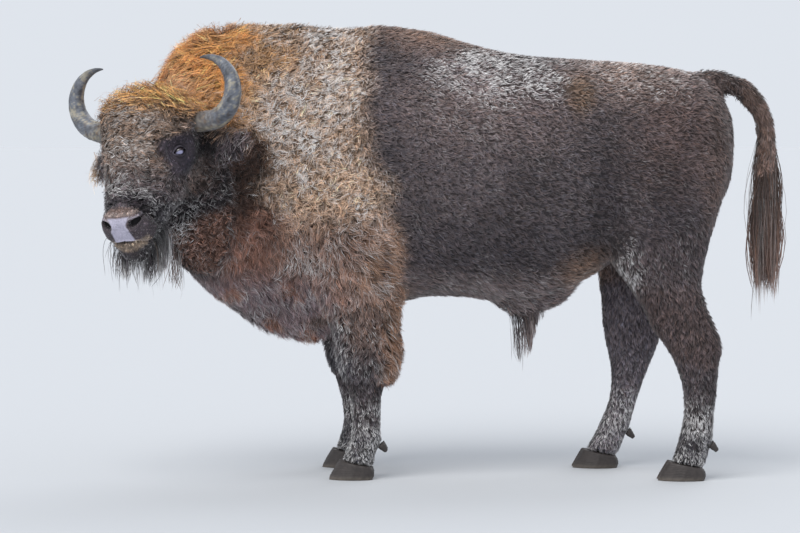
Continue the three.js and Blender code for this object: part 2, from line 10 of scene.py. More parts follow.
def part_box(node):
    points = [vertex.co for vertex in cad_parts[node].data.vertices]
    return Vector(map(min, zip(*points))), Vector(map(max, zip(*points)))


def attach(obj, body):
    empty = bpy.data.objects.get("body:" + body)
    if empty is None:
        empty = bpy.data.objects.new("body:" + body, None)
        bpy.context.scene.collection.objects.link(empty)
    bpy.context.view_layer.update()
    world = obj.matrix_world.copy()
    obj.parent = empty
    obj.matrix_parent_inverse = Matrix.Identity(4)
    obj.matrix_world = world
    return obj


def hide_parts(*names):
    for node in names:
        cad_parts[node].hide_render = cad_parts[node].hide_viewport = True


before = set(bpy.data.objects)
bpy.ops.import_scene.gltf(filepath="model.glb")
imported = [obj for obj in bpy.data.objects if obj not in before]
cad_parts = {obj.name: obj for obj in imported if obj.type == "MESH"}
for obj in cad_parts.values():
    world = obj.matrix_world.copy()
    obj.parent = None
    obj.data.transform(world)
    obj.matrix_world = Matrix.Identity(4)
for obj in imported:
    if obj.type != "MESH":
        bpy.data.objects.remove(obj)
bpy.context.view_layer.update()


# ------------------------------------------------------------------ camera
# The bull is seen square to its left side from a little under the height of its
# back, with a long lens from far off, so its legs are hardly foreshortened.
# Places on the bull are given from the plumb line behind its left elbow, in
# its own middle plane, on the floor.
TAIL_PARTED_BEHIND_ELBOW = 1.3497
BARREL_HALF_BREADTH = 0.3726
trunk_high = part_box("trunk")[1]
PLUMB = Vector((trunk_high[0] - TAIL_PARTED_BEHIND_ELBOW, trunk_high[1] - BARREL_HALF_BREADTH, 0))
CAMERA_AWAY = 13.0
CAMERA_HEIGHT = 1.5
CAMERA_DIP = math.radians(2.96)
SENSOR_WIDTH = 36.0
LENS_PER_FRAME_WIDTH = 3250 / 800

lens = bpy.data.cameras.new("long_lens")
lens.sensor_width = SENSOR_WIDTH
lens.lens = SENSOR_WIDTH * LENS_PER_FRAME_WIDTH
lens.clip_end = 100
camera = bpy.data.objects.new("camera", lens)
camera.location = PLUMB + Vector((0, -CAMERA_AWAY, CAMERA_HEIGHT))
camera.rotation_euler = (math.pi / 2 - CAMERA_DIP, 0, 0)
bpy.context.collection.objects.link(camera)
bpy.context.scene.camera = camera
bpy.context.scene.view_settings.view_transform = "Standard"


# ------------------------------------------------------------------ studio
# A pale floor that runs out to the horizon, a broad soft light above and in
# front, a weaker one from the rear side, and an even pale surround.
FLOOR_SIZE = 400.0
FLOOR_GREY = (0.540, 0.555, 0.576)
SURROUND = (0.74, 0.78, 0.84, 1)


def principled(name, color, roughness, **constants):
    """A material whose shader has these constant values on its own sockets."""
    material = bpy.data.materials.new(name)
    material.use_nodes = True
    shader = material.node_tree.nodes["Principled BSDF"]
    shader.inputs["Base Color"].default_value = (*color[:3], 1)
    shader.inputs["Roughness"].default_value = roughness
    for socket, value in constants.items():
        shader.inputs[socket.replace("_", " ")].default_value = value
    return material, shader


floor_mesh = bpy.data.meshes.new("floor")
half = FLOOR_SIZE / 2
floor_corners = [(-half, -half, 0), (half, -half, 0), (half, half, 0), (-half, half, 0)]
floor_mesh.from_pydata(floor_corners, [], [(0, 1, 2, 3)])
floor = bpy.data.objects.new("floor", floor_mesh)
bpy.context.collection.objects.link(floor)
floor_paint, _ = principled("floor_paint", FLOOR_GREY, 0.95, Specular_IOR_Level=0.1)
floor.data.materials.append(floor_paint)

surround = bpy.data.worlds.new("surround")
surround.use_nodes = True
surround.node_tree.nodes["Background"].inputs["Color"].default_value = SURROUND
bpy.context.scene.world = surround


def soft_light(name, from_place, strength, spread, color):
    light = bpy.data.lights.new(name, "SUN")
    light.energy = strength
    light.angle = math.radians(spread)
    light.color = color
    lamp = bpy.data.objects.new(name, light)
    lamp.location = PLUMB + Vector(from_place)
    lamp.rotation_euler = Vector(from_place).to_track_quat("Z", "Y").to_euler()
    bpy.context.collection.objects.link(lamp)


soft_light("key", (-2.2, -4.0, 5.5), 1.9, 45, (1.0, 0.98, 0.95))
soft_light("rim", (2.5, 4.0, 4.0), 0.8, 40, (0.95, 0.97, 1.0))


# ------------------------------------------------------------------ skin
# One hide covers the whole animal, from the lips to the tail's end. It is
# leathery skin over flesh, lying under the coat by the coat's own depth, with
# the lids, nostrils, lips and folds of the real hide.
HIDE_GRAIN = 0.010
HEAD_AT = Vector((-0.970, -0.480, 1.405))
FACE_DROP = math.radians(65)
HEAD_TURN = math.radians(60)
HEAD_TILT = math.radians(5.5)
EYE_AT = Vector((-0.124, 0.149, -0.026))
EYE_RADIUS = 0.024
EYE_LOOKS = (-0.10, 0.87, 0.48)
OUTER_CORNER_WAY = (0.54, 0.45, -0.71)
HORN_ROOT = Vector((0.010, 0.165, -0.055))

head_frame = Matrix.Translation(PLUMB + HEAD_AT) @ (
    Matrix.Rotation(HEAD_TURN, 4, "Z")
    @ Matrix.Rotation(-HEAD_TILT, 4, "X")
    @ Matrix.Rotation(-FACE_DROP, 4, "Y"))
HEAD_TO_WORLD = np.array(head_frame.to_3x3())
HEAD_ORIGIN = np.array(head_frame.translation)


def to_head(points):
    return (points - HEAD_ORIGIN) @ HEAD_TO_WORLD


def held(values):
    """Values held between 0 and 1."""
    return np.clip(values, 0, 1)


def ramp(value, start, end):
    """0 at start, 1 at end, eased at both."""
    run = held((value - start) / (end - start))
    return run * run * (3 - 2 * run)


def near(points, centre, reach):
    """1 at the centre, easing to 0 at the reach along each axis."""
    away = np.linalg.norm((points - np.array(centre)) / np.array(reach), axis=1)
    return 1 - ramp(away, 0, 1)


def crest(value, at, width):
    """1 where the value is at this level, falling off smoothly on both sides."""
    return np.exp(-((value - at) / width) ** 2)


def unit(vectors):
    return vectors / np.maximum(np.linalg.norm(vectors, axis=-1, keepdims=True), 1e-9)


def on_side(place, side):
    """A place or a way of the right side, on the right (1) or the left (-1)."""
    return np.array([place[0], side * place[1], place[2]])


def folded(points):
    """Points with the left side laid over the right one."""
    return np.column_stack([points[:, 0], np.abs(points[:, 1]), points[:, 2]])


def read(items, field, width, kind=float):
    """One field of all items of a mesh, in rows of this width."""
    values = np.empty(len(items) * width, dtype=kind)
    items.foreach_get(field, values)
    return values.reshape(-1, width)


def wrapped(shape, name, grain, rounding=0):
    """The closed surface round some solids, in squares of this size."""
    mesh = bpy.data.meshes.new(name)
    shape.to_mesh(mesh)
    shape.free()
    body_object = bpy.data.objects.new(name, mesh)
    bpy.context.collection.objects.link(body_object)
    wrap = body_object.modifiers.new("remesh", "REMESH")
    wrap.mode = "VOXEL"
    wrap.voxel_size = grain
    if rounding:
        wrap.use_smooth_shade = True
        smoothing = body_object.modifiers.new("rounding", "SMOOTH")
        smoothing.factor = 0.5
        smoothing.iterations = rounding
    bpy.context.view_layer.update()
    surface = bpy.data.meshes.new_from_object(
        body_object.evaluated_get(bpy.context.evaluated_depsgraph_get()))
    bpy.data.objects.remove(body_object)
    return surface


HARD_PARTS = ("eye", "horn")
hair_only = ["beard", "sheath_tuft", "tail_tuft"]
flesh_nodes = [
    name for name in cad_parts
    if not name.startswith(HARD_PARTS) and "hoof" not in name and "dewclaw" not in name]

# The solids are joined with plugs where the horns' roots and the eyes sit.
raw = bmesh.new()
label_triangles = []
label_points = []
label_of_triangle = []
for number, name in enumerate(flesh_nodes):
    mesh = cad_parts[name].data
    first = len(label_points)
    label_points.extend(vertex.co.copy() for vertex in mesh.vertices)
    mesh.calc_loop_triangles()
    for triangle in mesh.loop_triangles:
        label_triangles.append([first + corner for corner in triangle.vertices])
        label_of_triangle.append(number)
    if name not in hair_only:
        raw.from_mesh(mesh)
HORN_PLUG_RADIUS = 0.062
EYE_PLUG_RADIUS = 0.046
for side in (-1, 1):
    for place, radius in ((HORN_ROOT, HORN_PLUG_RADIUS), (EYE_AT, EYE_PLUG_RADIUS)):
        plug = Vector(on_side(place, side))
        bmesh.ops.create_icosphere(
            raw, subdivisions=3, radius=radius, matrix=head_frame @ Matrix.Translation(plug))
hide_mesh = wrapped(raw, "raw_hide", HIDE_GRAIN)

# The head is divided finer, and the eyes, nose and mouth finer again.
hide = bmesh.new()
hide.from_mesh(hide_mesh)


def subdivide_where(mesh, wanted):
    mesh.verts.ensure_lookup_table()
    corners = np.array([vertex.co for vertex in mesh.verts])
    chosen = set(np.nonzero(wanted(corners))[0])
    mesh.verts.index_update()
    edges = [edge for edge in mesh.edges
             if edge.verts[0].index in chosen and edge.verts[1].index in chosen]
    bmesh.ops.subdivide_edges(mesh, edges=edges, cuts=1, use_grid_fill=True)


def on_head(points):
    x, y, z = to_head(points).T
    return (x < 0.17) & (x > -0.6) & (z > -0.22) & (np.abs(y) < 0.25)


def on_features(points):
    local = to_head(points)
    by_eye = np.linalg.norm(folded(local) - np.array(EYE_AT), axis=1) < 0.062
    return on_head(points) & ((local[:, 0] < -0.375) | by_eye)


subdivide_where(hide, on_head)
subdivide_where(hide, on_features)
bmesh.ops.triangulate(hide, faces=[face for face in hide.faces if len(face.verts) > 4])
hide.to_mesh(hide_mesh)
hide.free()

vertex_count = len(hide_mesh.vertices)
places = read(hide_mesh.vertices, "co", 3)
edges = read(hide_mesh.edges, "vertices", 2, np.int32)
edge_from = np.concatenate([edges[:, 0], edges[:, 1]])
edge_to = np.concatenate([edges[:, 1], edges[:, 0]])
neighbours = np.bincount(edge_from, minlength=vertex_count)


def relax(values, rounds, pull=0.5):
    """Each vertex drifts towards the mean of its neighbours."""
    flat = values.reshape(vertex_count, -1).astype(float).copy()
    for _ in range(rounds):
        for column in range(flat.shape[1]):
            total = np.bincount(edge_from, flat[edge_to, column], vertex_count)
            flat[:, column] += pull * (total / neighbours - flat[:, column])
    return flat.reshape(values.shape)


def hide_normals():
    hide_mesh.vertices.foreach_set("co", places.ravel())
    hide_mesh.update()
    return read(hide_mesh.vertex_normals, "vector", 3)


# Which part of the animal each vertex lies nearest to, eased across the joins.
tree = BVHTree.FromPolygons(label_points, label_triangles)
nearest = np.array([label_of_triangle[tree.find_nearest(Vector(place))[2]] for place in places])
part = {name: (nearest == number).astype(float) for number, name in enumerate(flesh_nodes)}


def parts_like(*words):
    return sum(weight for name, weight in part.items() if any(word in name for word in words))


is_head = parts_like("head")
is_ear = parts_like("ear_")
is_tail = parts_like("tail")
is_foot = parts_like("foot")
is_cannon = parts_like("cannon")
is_upper_leg = parts_like("upper", "shank")
is_thigh = parts_like("thigh")

places = relax(places, 12, 0.6)
normals = hide_normals()
body = places - np.array(PLUMB)
along_body, across_body, height = body.T
head_x, head_y, head_z = to_head(places).T
out_from_middle = np.abs(across_body)

# Regions of the coat, each from 0 to 1 over the whole hide.
face_now = relax(is_head, 6)
ear_now = relax(is_ear, 4)
tail_now = relax(is_tail, 6)
foot_now = relax(is_foot, 8)
cannon_now = relax(is_cannon, 10)
upper_now = relax(is_upper_leg, 12)
thigh_now = relax(is_thigh, 24)
limb_now = held(foot_now + cannon_now + upper_now)
edge_wander = 0.09 * ramp(height, 1.14, 1.36) + 0.012 * np.sin(height * 31)
mane_now = 1 - ramp(along_body + edge_wander, -0.12, 0.01)
mane_now *= 1 - held(foot_now + cannon_now + ramp(0.62 - height, 0, 0.2) * upper_now)
crown_now = face_now * ramp(head_x, -0.02, 0.07)
brow_now = face_now * ramp(head_z, -0.02, 0.05) * (1 - crown_now) * ramp(head_x, -0.40, -0.30)
short_nose = ramp(-0.365 - 0.5 * np.abs(head_y) - head_x, -0.015, 0.015)
muzzle_now = face_now * short_nose * ramp(head_z, -0.07, -0.03)
chin_now = face_now * ramp(-0.47 - head_x, 0, 0.02) * ramp(0.012 - head_z, 0, 0.02)
mirrored = folded(to_head(places))
eye_distance = np.linalg.norm(mirrored - np.array(EYE_AT), axis=1)
above_eye = near(mirrored, (-0.13, 0.14, 0.06), (0.06, 0.05, 0.06))
eye_patch = face_now * held(1 - ramp(eye_distance, 0.070, 0.110) + above_eye)
# The hollow before the ear, which is painted dark as shade.
shaded_ear_hollow = near(mirrored, (-0.070, 0.215, -0.118), (0.085, 0.075, 0.075))
throat_now = mane_now * (1 - face_now) * ramp(1.15 - height, 0, 0.3)
belly_now = (1 - mane_now) * ramp(0.86 - height, 0, 0.12) * (1 - limb_now) * (1 - thigh_now)


def blend_regions(everywhere, *layers):
    """Starts from one value and lays each (region, value) over it."""
    result = np.ones(vertex_count) * everywhere
    for region, value in layers:
        result = result + (value - result) * region
    return result


coat_depth = blend_regions(
    0.014, (mane_now, 0.038), (throat_now, 0.046), (belly_now, 0.020), (thigh_now, 0.011),
    (upper_now * (1 - mane_now), 0.011), (cannon_now, 0.009), (foot_now, 0.008), (tail_now, 0.010),
    (face_now, 0.020), (crown_now, 0.040), (brow_now, 0.028), (ear_now, 0.012),
    (eye_patch, 0.006), (muzzle_now, 0.003), (chin_now, 0.008))
coat_depth = relax(coat_depth, 4)
places = places - normals * coat_depth[:, None]
places = relax(places, 3, 0.5)

# Forms of the flesh under the hide: (centre from the plumb line, reach, height).
# The left side shows them all, and the right side has the same.
FORMS = [
    ((0.69, 0.27, 1.54), (0.10, 0.14, 0.10), 0.028),   # point of the hip
    ((0.52, 0.33, 1.36), (0.16, 0.16, 0.20), -0.034),  # hollow of the flank
    ((1.18, 0.20, 1.40), (0.16, 0.14, 0.14), 0.016),   # pin bone
    ((-0.10, 0.33, 1.30), (0.09, 0.20, 0.42), 0.012),  # rear edge of the shoulder
    ((0.02, 0.34, 1.25), (0.08, 0.20, 0.40), -0.022),  # dip behind the shoulder
    ((-0.30, 0.34, 1.00), (0.20, 0.20, 0.20), 0.016),  # upper arm
    ((0.28, 0.37, 1.05), (0.36, 0.20, 0.26), 0.012),   # ribs
    ((0.80, 0.32, 1.12), (0.09, 0.16, 0.30), -0.026),  # dip before the thigh
    ((1.00, 0.31, 1.10), (0.17, 0.16, 0.28), 0.018),   # thigh muscle
    ((0.74, 0.27, 0.90), (0.10, 0.14, 0.10), -0.018),  # flank fold
]
normals = hide_normals()
swell = np.zeros(vertex_count)
mirror_body = folded(body)
for centre, reach, rise in FORMS:
    swell += rise * near(mirror_body, centre, reach)
swell *= 1 - face_now
places = places + normals * swell[:, None]

# Wrinkles of the hide above the hock.
LEG_FOLD_PITCH = 0.030
LEG_FOLD_DEPTH = 0.0025
above_hock = upper_now * ramp(along_body, 0.9, 1.0) * ramp(height, 0.55, 0.60)
above_hock *= ramp(0.80 - height, 0, 0.06)
fold = np.sin((height - 0.6 * along_body) * 2 * math.pi / LEG_FOLD_PITCH)
places = places + normals * (LEG_FOLD_DEPTH * fold * above_hock)[:, None]


# The lids stand round each eye, with a brow over it and folds above and below.
LID_THICKNESS = 0.0030
OPENING_HALF_LENGTH = 0.0260
UPPER_LID_ARCH = 0.0146
LOWER_LID_ARCH = 0.0132
lid_rim_highlight, lid_margin, lid_fold_shade = np.zeros((3, vertex_count))


def eye_axes(looks, side):
    """The way that an eye looks, and the way to its outer corner square to it."""
    gaze = unit(on_side(looks, side))
    outer_corner = on_side(OUTER_CORNER_WAY, side)
    return gaze, unit(outer_corner - gaze * (outer_corner @ gaze))


for side in (-1, 1):
    gaze, lengthwise = eye_axes(EYE_LOOKS, side)
    local = to_head(places) - on_side(EYE_AT, side)
    level = local @ gaze
    crosswise = side * np.cross(gaze, lengthwise)
    crosswise = crosswise * np.sign(crosswise[0])
    a = local @ lengthwise
    b = local @ crosswise
    from_axis = np.hypot(a, b)
    here = (level > -0.035) & (from_axis < 0.08) & (face_now > 0.5)
    dome = np.sqrt(np.maximum((EYE_RADIUS + LID_THICKNESS) ** 2 - from_axis ** 2, 0))
    brow_ridge = 0.010 * crest(from_axis, 0.047, 0.015) * ramp(b, -0.03, 0.03)
    target = np.maximum(dome, 0.009 + brow_ridge)
    arch = np.where(b > 0, UPPER_LID_ARCH, LOWER_LID_ARCH)
    almond = np.abs(b) / arch + (a / OPENING_HALF_LENGTH) ** 2
    target = target + 0.0022 * crest(almond, 1.22, 0.16)
    target = target - 0.0035 * crest(almond, 1.80, 0.17) * ramp(b, -0.012, 0.004)
    target = target - 0.0022 * crest(almond, 2.20, 0.18) * ramp(-b, 0.0, 0.014)
    target = target - 0.0018 * crest(almond, 3.0, 0.20)
    inside = 1 - ramp(almond, 0.88, 1.06)
    sunk = np.sqrt(np.maximum((EYE_RADIUS - 0.005) ** 2 - from_axis ** 2, 0))
    target = target + (sunk - target) * inside
    weight = (1 - ramp(from_axis, 0.048, 0.08)) * here
    move = (target - level) * weight
    # The dark lid margin, a painted highlight on the upper lid and inner corner, and painted shade in the
    # lid folds.
    lid_margin += weight * (1 - ramp(almond, 1.12, 1.28))
    lid_rim_highlight += weight * crest(almond, 1.42, 0.14) * ramp(b - 0.4 * a, -0.012, 0.004)
    lid_fold_shade += weight * (crest(almond, 1.80, 0.16) + 0.5 * crest(almond, 3.0, 0.2))
    places = places + (move[:, None] * (HEAD_TO_WORLD @ gaze))

# The nose pad slopes from its upper edge down to the lip, between two nostrils
# shaped like commas, and the mouth is a closed line under it.
PAD_TOP = np.array([-0.428, 0.083])
PAD_LIP = np.array([-0.496, -0.008])
pad_down = (PAD_LIP - PAD_TOP) / np.linalg.norm(PAD_LIP - PAD_TOP)
pad_out = np.array([pad_down[1], -pad_down[0]])


def mouth_level(x, y):
    return 0.004 - 3.6 * y ** 2 - 1.3 * np.maximum(0, x + 0.497)


head_x, head_y, head_z = to_head(places).T
aside = np.abs(head_y)
down = (head_x - PAD_TOP[0]) * pad_down[0] + (head_z - PAD_TOP[1]) * pad_down[1]
level = (head_x - PAD_TOP[0]) * pad_out[0] + (head_z - PAD_TOP[1]) * pad_out[1]
front = (level > -0.05) & (face_now > 0.5) & (down > -0.05) & (down < 0.16)
comma_along = (aside - 0.066) * 0.966 - (down - 0.032) * 0.259
comma_across = (aside - 0.066) * 0.259 + (down - 0.032) * 0.966
comma_across = comma_across + 6.0 * np.maximum(comma_along, 0) ** 2
nostril_run = np.hypot(comma_along / 0.031, comma_across / (0.0160 - 0.20 * comma_along))
nostril = (1 - ramp(nostril_run, 0.60, 1.06)) * front
nostril_rim = crest(nostril_run, 1.30, 0.24) * front
over_mouth = head_z - mouth_level(head_x, head_y)
pad_width = 0.041 + 0.004 * ramp(down, 0.05, 0.10) + 0.012 * (1 - ramp(down, 0.004, 0.016))
pad_now = front * (1 - ramp(aside, pad_width - 0.005, pad_width + 0.004))
pad_now *= ramp(down, 0.002, 0.012) * ramp(over_mouth, 0.004, 0.010) * ramp(nostril_run, 0.98, 1.2)
lip_edge = front * crest(over_mouth, 0.008, 0.0045) * ramp(-0.44 - head_x, 0, 0.02)
upper_edge = front * crest(down, -0.002, 0.005) * (1 - ramp(aside, 0.075, 0.10))
groove = crest(aside, 0, 0.004) * front * ramp(down, 0.035, 0.06)
press = 0.026 * nostril - 0.0045 * nostril_rim - 0.0030 * lip_edge
press = press - 0.0035 * upper_edge + 0.0030 * groove
press += 0.004 * near(np.column_stack([aside, down]), (0.0, 0.045), (0.035, 0.04)) * front
out_of_pad = HEAD_TO_WORLD @ np.array([pad_out[0], 0, pad_out[1]])
places = places - press[:, None] * out_of_pad
head_x, head_y, head_z = to_head(places).T
over_mouth = head_z - mouth_level(head_x, head_y)
lip = crest(over_mouth, 0, 0.0045) * (face_now > 0.5) * ramp(-0.445 - head_x, 0, 0.02)
under_lip = crest(over_mouth, -0.015, 0.007) * (face_now > 0.5) * ramp(-0.47 - head_x, 0, 0.02)
normals = hide_normals()
places = places - normals * (0.011 * lip - 0.004 * under_lip)[:, None]
places = relax(places, 1, 0.25)
normals = hide_normals()

# ------------------------------------------------------------------ markings
# The bull's colours, the same on hide and coat: golden brown on nape and hump,
# rusty on the throat, dark purplish brown on the trunk and dark brown on the
# legs, with frost in the tips of the hair, thickest on the shoulder and feet.
# Light and shade are painted in too: lighter on the upper trunk and rump,
# darker in the creases, under the eyes and before the ears.


def paint(red, green, blue):
    """A screen colour, 0 to 255, as light."""
    tone = np.array([red, green, blue]) / 255
    return np.where(tone > 0.04045, ((tone + 0.055) / 1.055) ** 2.4, tone / 12.92)


def ripple(points, size, seed):
    """A smooth random value from about -1 to 1, in patches of this size."""
    chance = np.random.default_rng(seed)
    waves = unit(chance.normal(size=(9, 3))) * (2 * math.pi / size) * chance.uniform(0.6, 1.5, (9, 1))
    return np.sin(points @ waves.T + chance.uniform(0, 2 * math.pi, 9)).sum(axis=1) / 3.2


body = places - np.array(PLUMB)
along_body, _, height = body.T
head_x, head_y, head_z = to_head(places).T
pelt = np.tile(paint(92, 83, 85), (vertex_count, 1))


def dyed(colours, region, red, green, blue):
    """The colours with this one laid over them where the region says."""
    return colours + (paint(red, green, blue) - colours) * held(region)[:, None]


def lay_colour(region, red, green, blue):
    global pelt
    pelt = dyed(pelt, region, red, green, blue)


patchy = ripple(places, 0.16, 3)
faces_back = ramp(normals[:, 0], 0.1, 0.7)
faces_front = ramp(-normals[:, 0], 0.1, 0.7)
mirror_head = folded(to_head(places))
lay_colour(ramp(along_body, 0.7, 1.15), 84, 75, 78)
# The upper trunk is lighter: partly frost, partly painted light from above.
lay_colour(0.7 * near(body, (0.35, 0, 1.48), (0.60, 0.9, 0.32)), 150, 130, 126)
ridge = near(body, (0.14, 0, 1.78), (0.40, 0.34, 0.20))
lay_colour(1.3 * ridge, 134, 107, 93)
# The top of the rump is lighter: partly frost, partly painted light from above.
lay_colour(0.9 * near(body, (0.92, 0, 1.62), (0.44, 0.7, 0.24)), 174, 148, 136)
lay_colour(0.8 * belly_now, 140, 124, 122)
lay_colour(1.3 * near(mirror_body, (0.74, 0.18, 0.80), (0.20, 0.26, 0.16)), 150, 120, 102)
hip_patch = held(1.4 * near(mirror_body, (0.70, 0.26, 1.53), (0.085, 0.24, 0.13)))
lay_colour(hip_patch, 136, 111, 94)
# Painted shade in the crease before the thigh and along the lower flank, and a darker patch on the thigh.
lay_colour(0.6 * near(mirror_body, (0.82, 0.32, 1.08), (0.10, 0.2, 0.34)), 54, 48, 52)
lay_colour(0.6 * near(mirror_body, (1.06, 0.30, 1.18), (0.15, 0.2, 0.24)), 52, 47, 51)
lay_colour(0.5 * near(mirror_body, (0.35, 0.36, 0.90), (0.62, 0.3, 0.20)), 60, 55, 60)
lay_colour(mane_now, 192, 160, 134)
lay_colour(mane_now * ramp(1.12 - height, 0, 0.18), 138, 108, 94)
drift = 0.07 * ripple(places, 0.22, 31)
golden = mane_now * ramp(-0.38 - along_body - 0.35 * (1.72 - height) + drift, 0, 0.18)
golden *= ramp(height + drift, 1.22, 1.45)
lay_colour(golden * 0.9, 176, 134, 92)
orange = mane_now * ramp(-0.58 - along_body + drift, 0, 0.20) * ramp(height + drift, 1.34, 1.58)
lay_colour(orange * 0.95, 222, 154, 84)
lay_colour(0.8 * near(body, (-0.88, -0.38, 1.57), (0.17, 0.26, 0.13)), 198, 168, 142)
forelock = mane_now * near(body, (-0.80, -0.05, 1.68), (0.24, 0.34, 0.22))
lay_colour(0.7 * forelock, 214, 164, 106)
neck_side = mane_now * ramp(-0.45 - along_body + 0.5 * drift, 0, 0.14) * ramp(1.45 - height + drift, 0, 0.18)
neck_side *= 0.45 + 0.55 * ramp(-body[:, 1], -0.1, 0.15)
lay_colour(neck_side, 60, 42, 34)
rusty = mane_now * near(body, (-0.62, -0.25, 0.94), (0.25, 0.6, 0.34)) * ramp(1.14 - height + drift, 0, 0.16)
lay_colour(0.9 * rusty, 138, 98, 82)
brisket = mane_now * ramp(0.90 - height, 0, 0.16) * (1 - ramp(out_from_middle, 0.28, 0.36))
lay_colour(brisket * 0.9, 126, 107, 110)
lay_colour(brisket * ramp(patchy, 0.3, 0.9), 140, 98, 80)
fore_now = held(upper_now * (1 - ramp(along_body, 0.3, 0.6)))
lay_colour(fore_now, 106, 86, 78)
lay_colour(ramp(0.62 - height, 0, 0.14) * (1 - brisket) * (1 - tail_now), 76, 69, 72)
lay_colour(0.8 * fore_now * faces_back, 150, 112, 86)
lay_colour(0.7 * fore_now * faces_front * ramp(0.72 - height, 0, 0.1), 62, 58, 66)
elbow = near(mirror_body, (-0.08, 0.31, 0.87), (0.13, 0.20, 0.22))
lay_colour(1.4 * elbow, 160, 126, 104)
# Painted shade in the cleft behind the elbow.
cleft_shade = near(mirror_body, (-0.075, 0.33, 0.86), (0.030, 0.12, 0.17))
lay_colour(cleft_shade, 66, 50, 48)
lay_colour(thigh_now * 0.6, 80, 68, 68)
lay_colour(upper_now * ramp(along_body, 0.5, 0.7), 84, 71, 70)
lay_colour(ramp(along_body, 1.12, 1.24) * ramp(height, 0.9, 1.1) * (1 - tail_now), 106, 90, 86)
lay_colour(cannon_now, 76, 67, 69)
lay_colour(foot_now, 70, 66, 70)
# The inner sides of the hind legs are paler, and are painted lighter still to lift the far leg out of its
# shadow.
pale_and_lit_leg_inside = limb_now * (along_body > 0.5) * ramp(-normals[:, 1] * np.sign(body[:, 1]), 0.1, 0.6)
lay_colour(0.8 * pale_and_lit_leg_inside, 110, 102, 108)
lay_colour(0.7 * near(body, (1.06, 0, 1.38), (0.34, 0.9, 0.42)), 118, 96, 90)
lay_colour(tail_now, 108, 88, 80)
lay_colour(face_now, 84, 73, 73)
lay_colour(brow_now * ramp(head_x, -0.30, -0.10), 120, 100, 86)
lay_colour(crown_now * ramp(head_x, -0.08, 0.03), 228, 170, 102)
cheek = near(mirror_head, (-0.16, 0.15, -0.19), (0.15, 0.13, 0.13))
jowl = face_now * ramp(-0.29 - head_x - 0.4 * head_z, 0, 0.08) * ramp(0.05 - head_z, 0, 0.1)
jowl *= ramp(-0.20 - head_x, 0, 0.08)
lay_colour(face_now * ramp(-0.27 - head_x, 0, 0.08), 62, 54, 58)
lay_colour(jowl, 38, 34, 41)
lay_colour(face_now * ramp(-head_z, 0.10, 0.20), 56, 49, 51)
lay_colour(1.3 * cheek, 94, 76, 68)
bridge = face_now * ramp(-0.325 - head_x, 0, 0.02) * ramp(head_z, 0.01, 0.05)
lay_colour(bridge, 48, 41, 46)
face_side = face_now * ramp(np.abs(head_y), 0.08, 0.13)
jaw_edge = 0.26 * head_x - 0.258 - head_z - 0.06 * ramp(head_x, -0.26, -0.18)
behind_jaw = face_now * ramp(jaw_edge, -0.025, 0.025)
lay_colour(behind_jaw, 118, 86, 73)
lay_colour(muzzle_now, 76, 67, 72)
lay_colour(muzzle_now * ramp(head_z, 0.05, 0.09) * ramp(-0.385 - head_x, 0, 0.02), 112, 92, 84)
lay_colour(upper_edge * 0.9, 150, 134, 128)
lay_colour(nostril_rim * (comma_across < 0) * 0.9, 168, 160, 170)
lay_colour(chin_now, 150, 132, 116)
lay_colour(held(lip_edge * 1.1) * ramp(aside, 0.02, 0.04), 196, 180, 172)
lay_colour(face_now * ramp(-0.028 - head_z, 0, 0.010) * ramp(-0.40 - head_x, 0, 0.04), 64, 57, 60)
lay_colour(eye_patch, 74, 66, 74)
# Painted shade under the eye.
lay_colour(eye_patch * near(mirror_head, (-0.155, 0.16, -0.075), (0.07, 0.06, 0.07)), 40, 37, 48)
lay_colour(ear_now, 66, 56, 60)
lay_colour(ear_now * held(ramp(head_x, -0.05, -0.01) + ramp(np.abs(head_y), 0.35, 0.40)), 142, 116, 96)
lay_colour(ear_now * ramp(head_y, 0.30, 0.35), 176, 146, 116)
# Painted shade in the hollow before the ear, partly the cheek's dark hair.
lay_colour(1.5 * shaded_ear_hollow, 24, 19, 22)
pelt = pelt * (1 + 0.12 * ripple(places, 0.28, 5) + 0.09 * ripple(places, 0.07, 6))[:, None]

bare = held(pad_now)
band_line = -0.30 - 0.57 * np.maximum(0, 1.62 - height)
frost_band = crest(along_body, band_line, 0.17) * ramp(height, 1.02, 1.25)
beard_roots = face_now * ramp(-0.030 - head_z, 0, 0.02) * ramp(-0.85 - along_body, 0, 0.04)
beard_roots *= ramp(1.05 - height, 0, 0.04) * (1 - ramp(np.abs(head_y), 0.07, 0.11))
beard_roots *= ramp(-0.305 - head_x, 0, 0.04) * ramp(head_x + 0.497, 0, 0.02)
lay_colour(beard_roots, 66, 58, 61)
stifle = held(1.5 * near(mirror_body, (0.88, 0.32, 0.82), (0.10, 0.2, 0.18)))
low_front = fore_now * faces_front * ramp(0.72 - height, 0, 0.1)
back_snow = held(1.9 * near(mirror_body, (0.38, 0.18, 1.60), (0.40, 0.42, 0.18)))
jaw_line = face_now * crest(jaw_edge, 0, 0.020) * (head_x < -0.27)
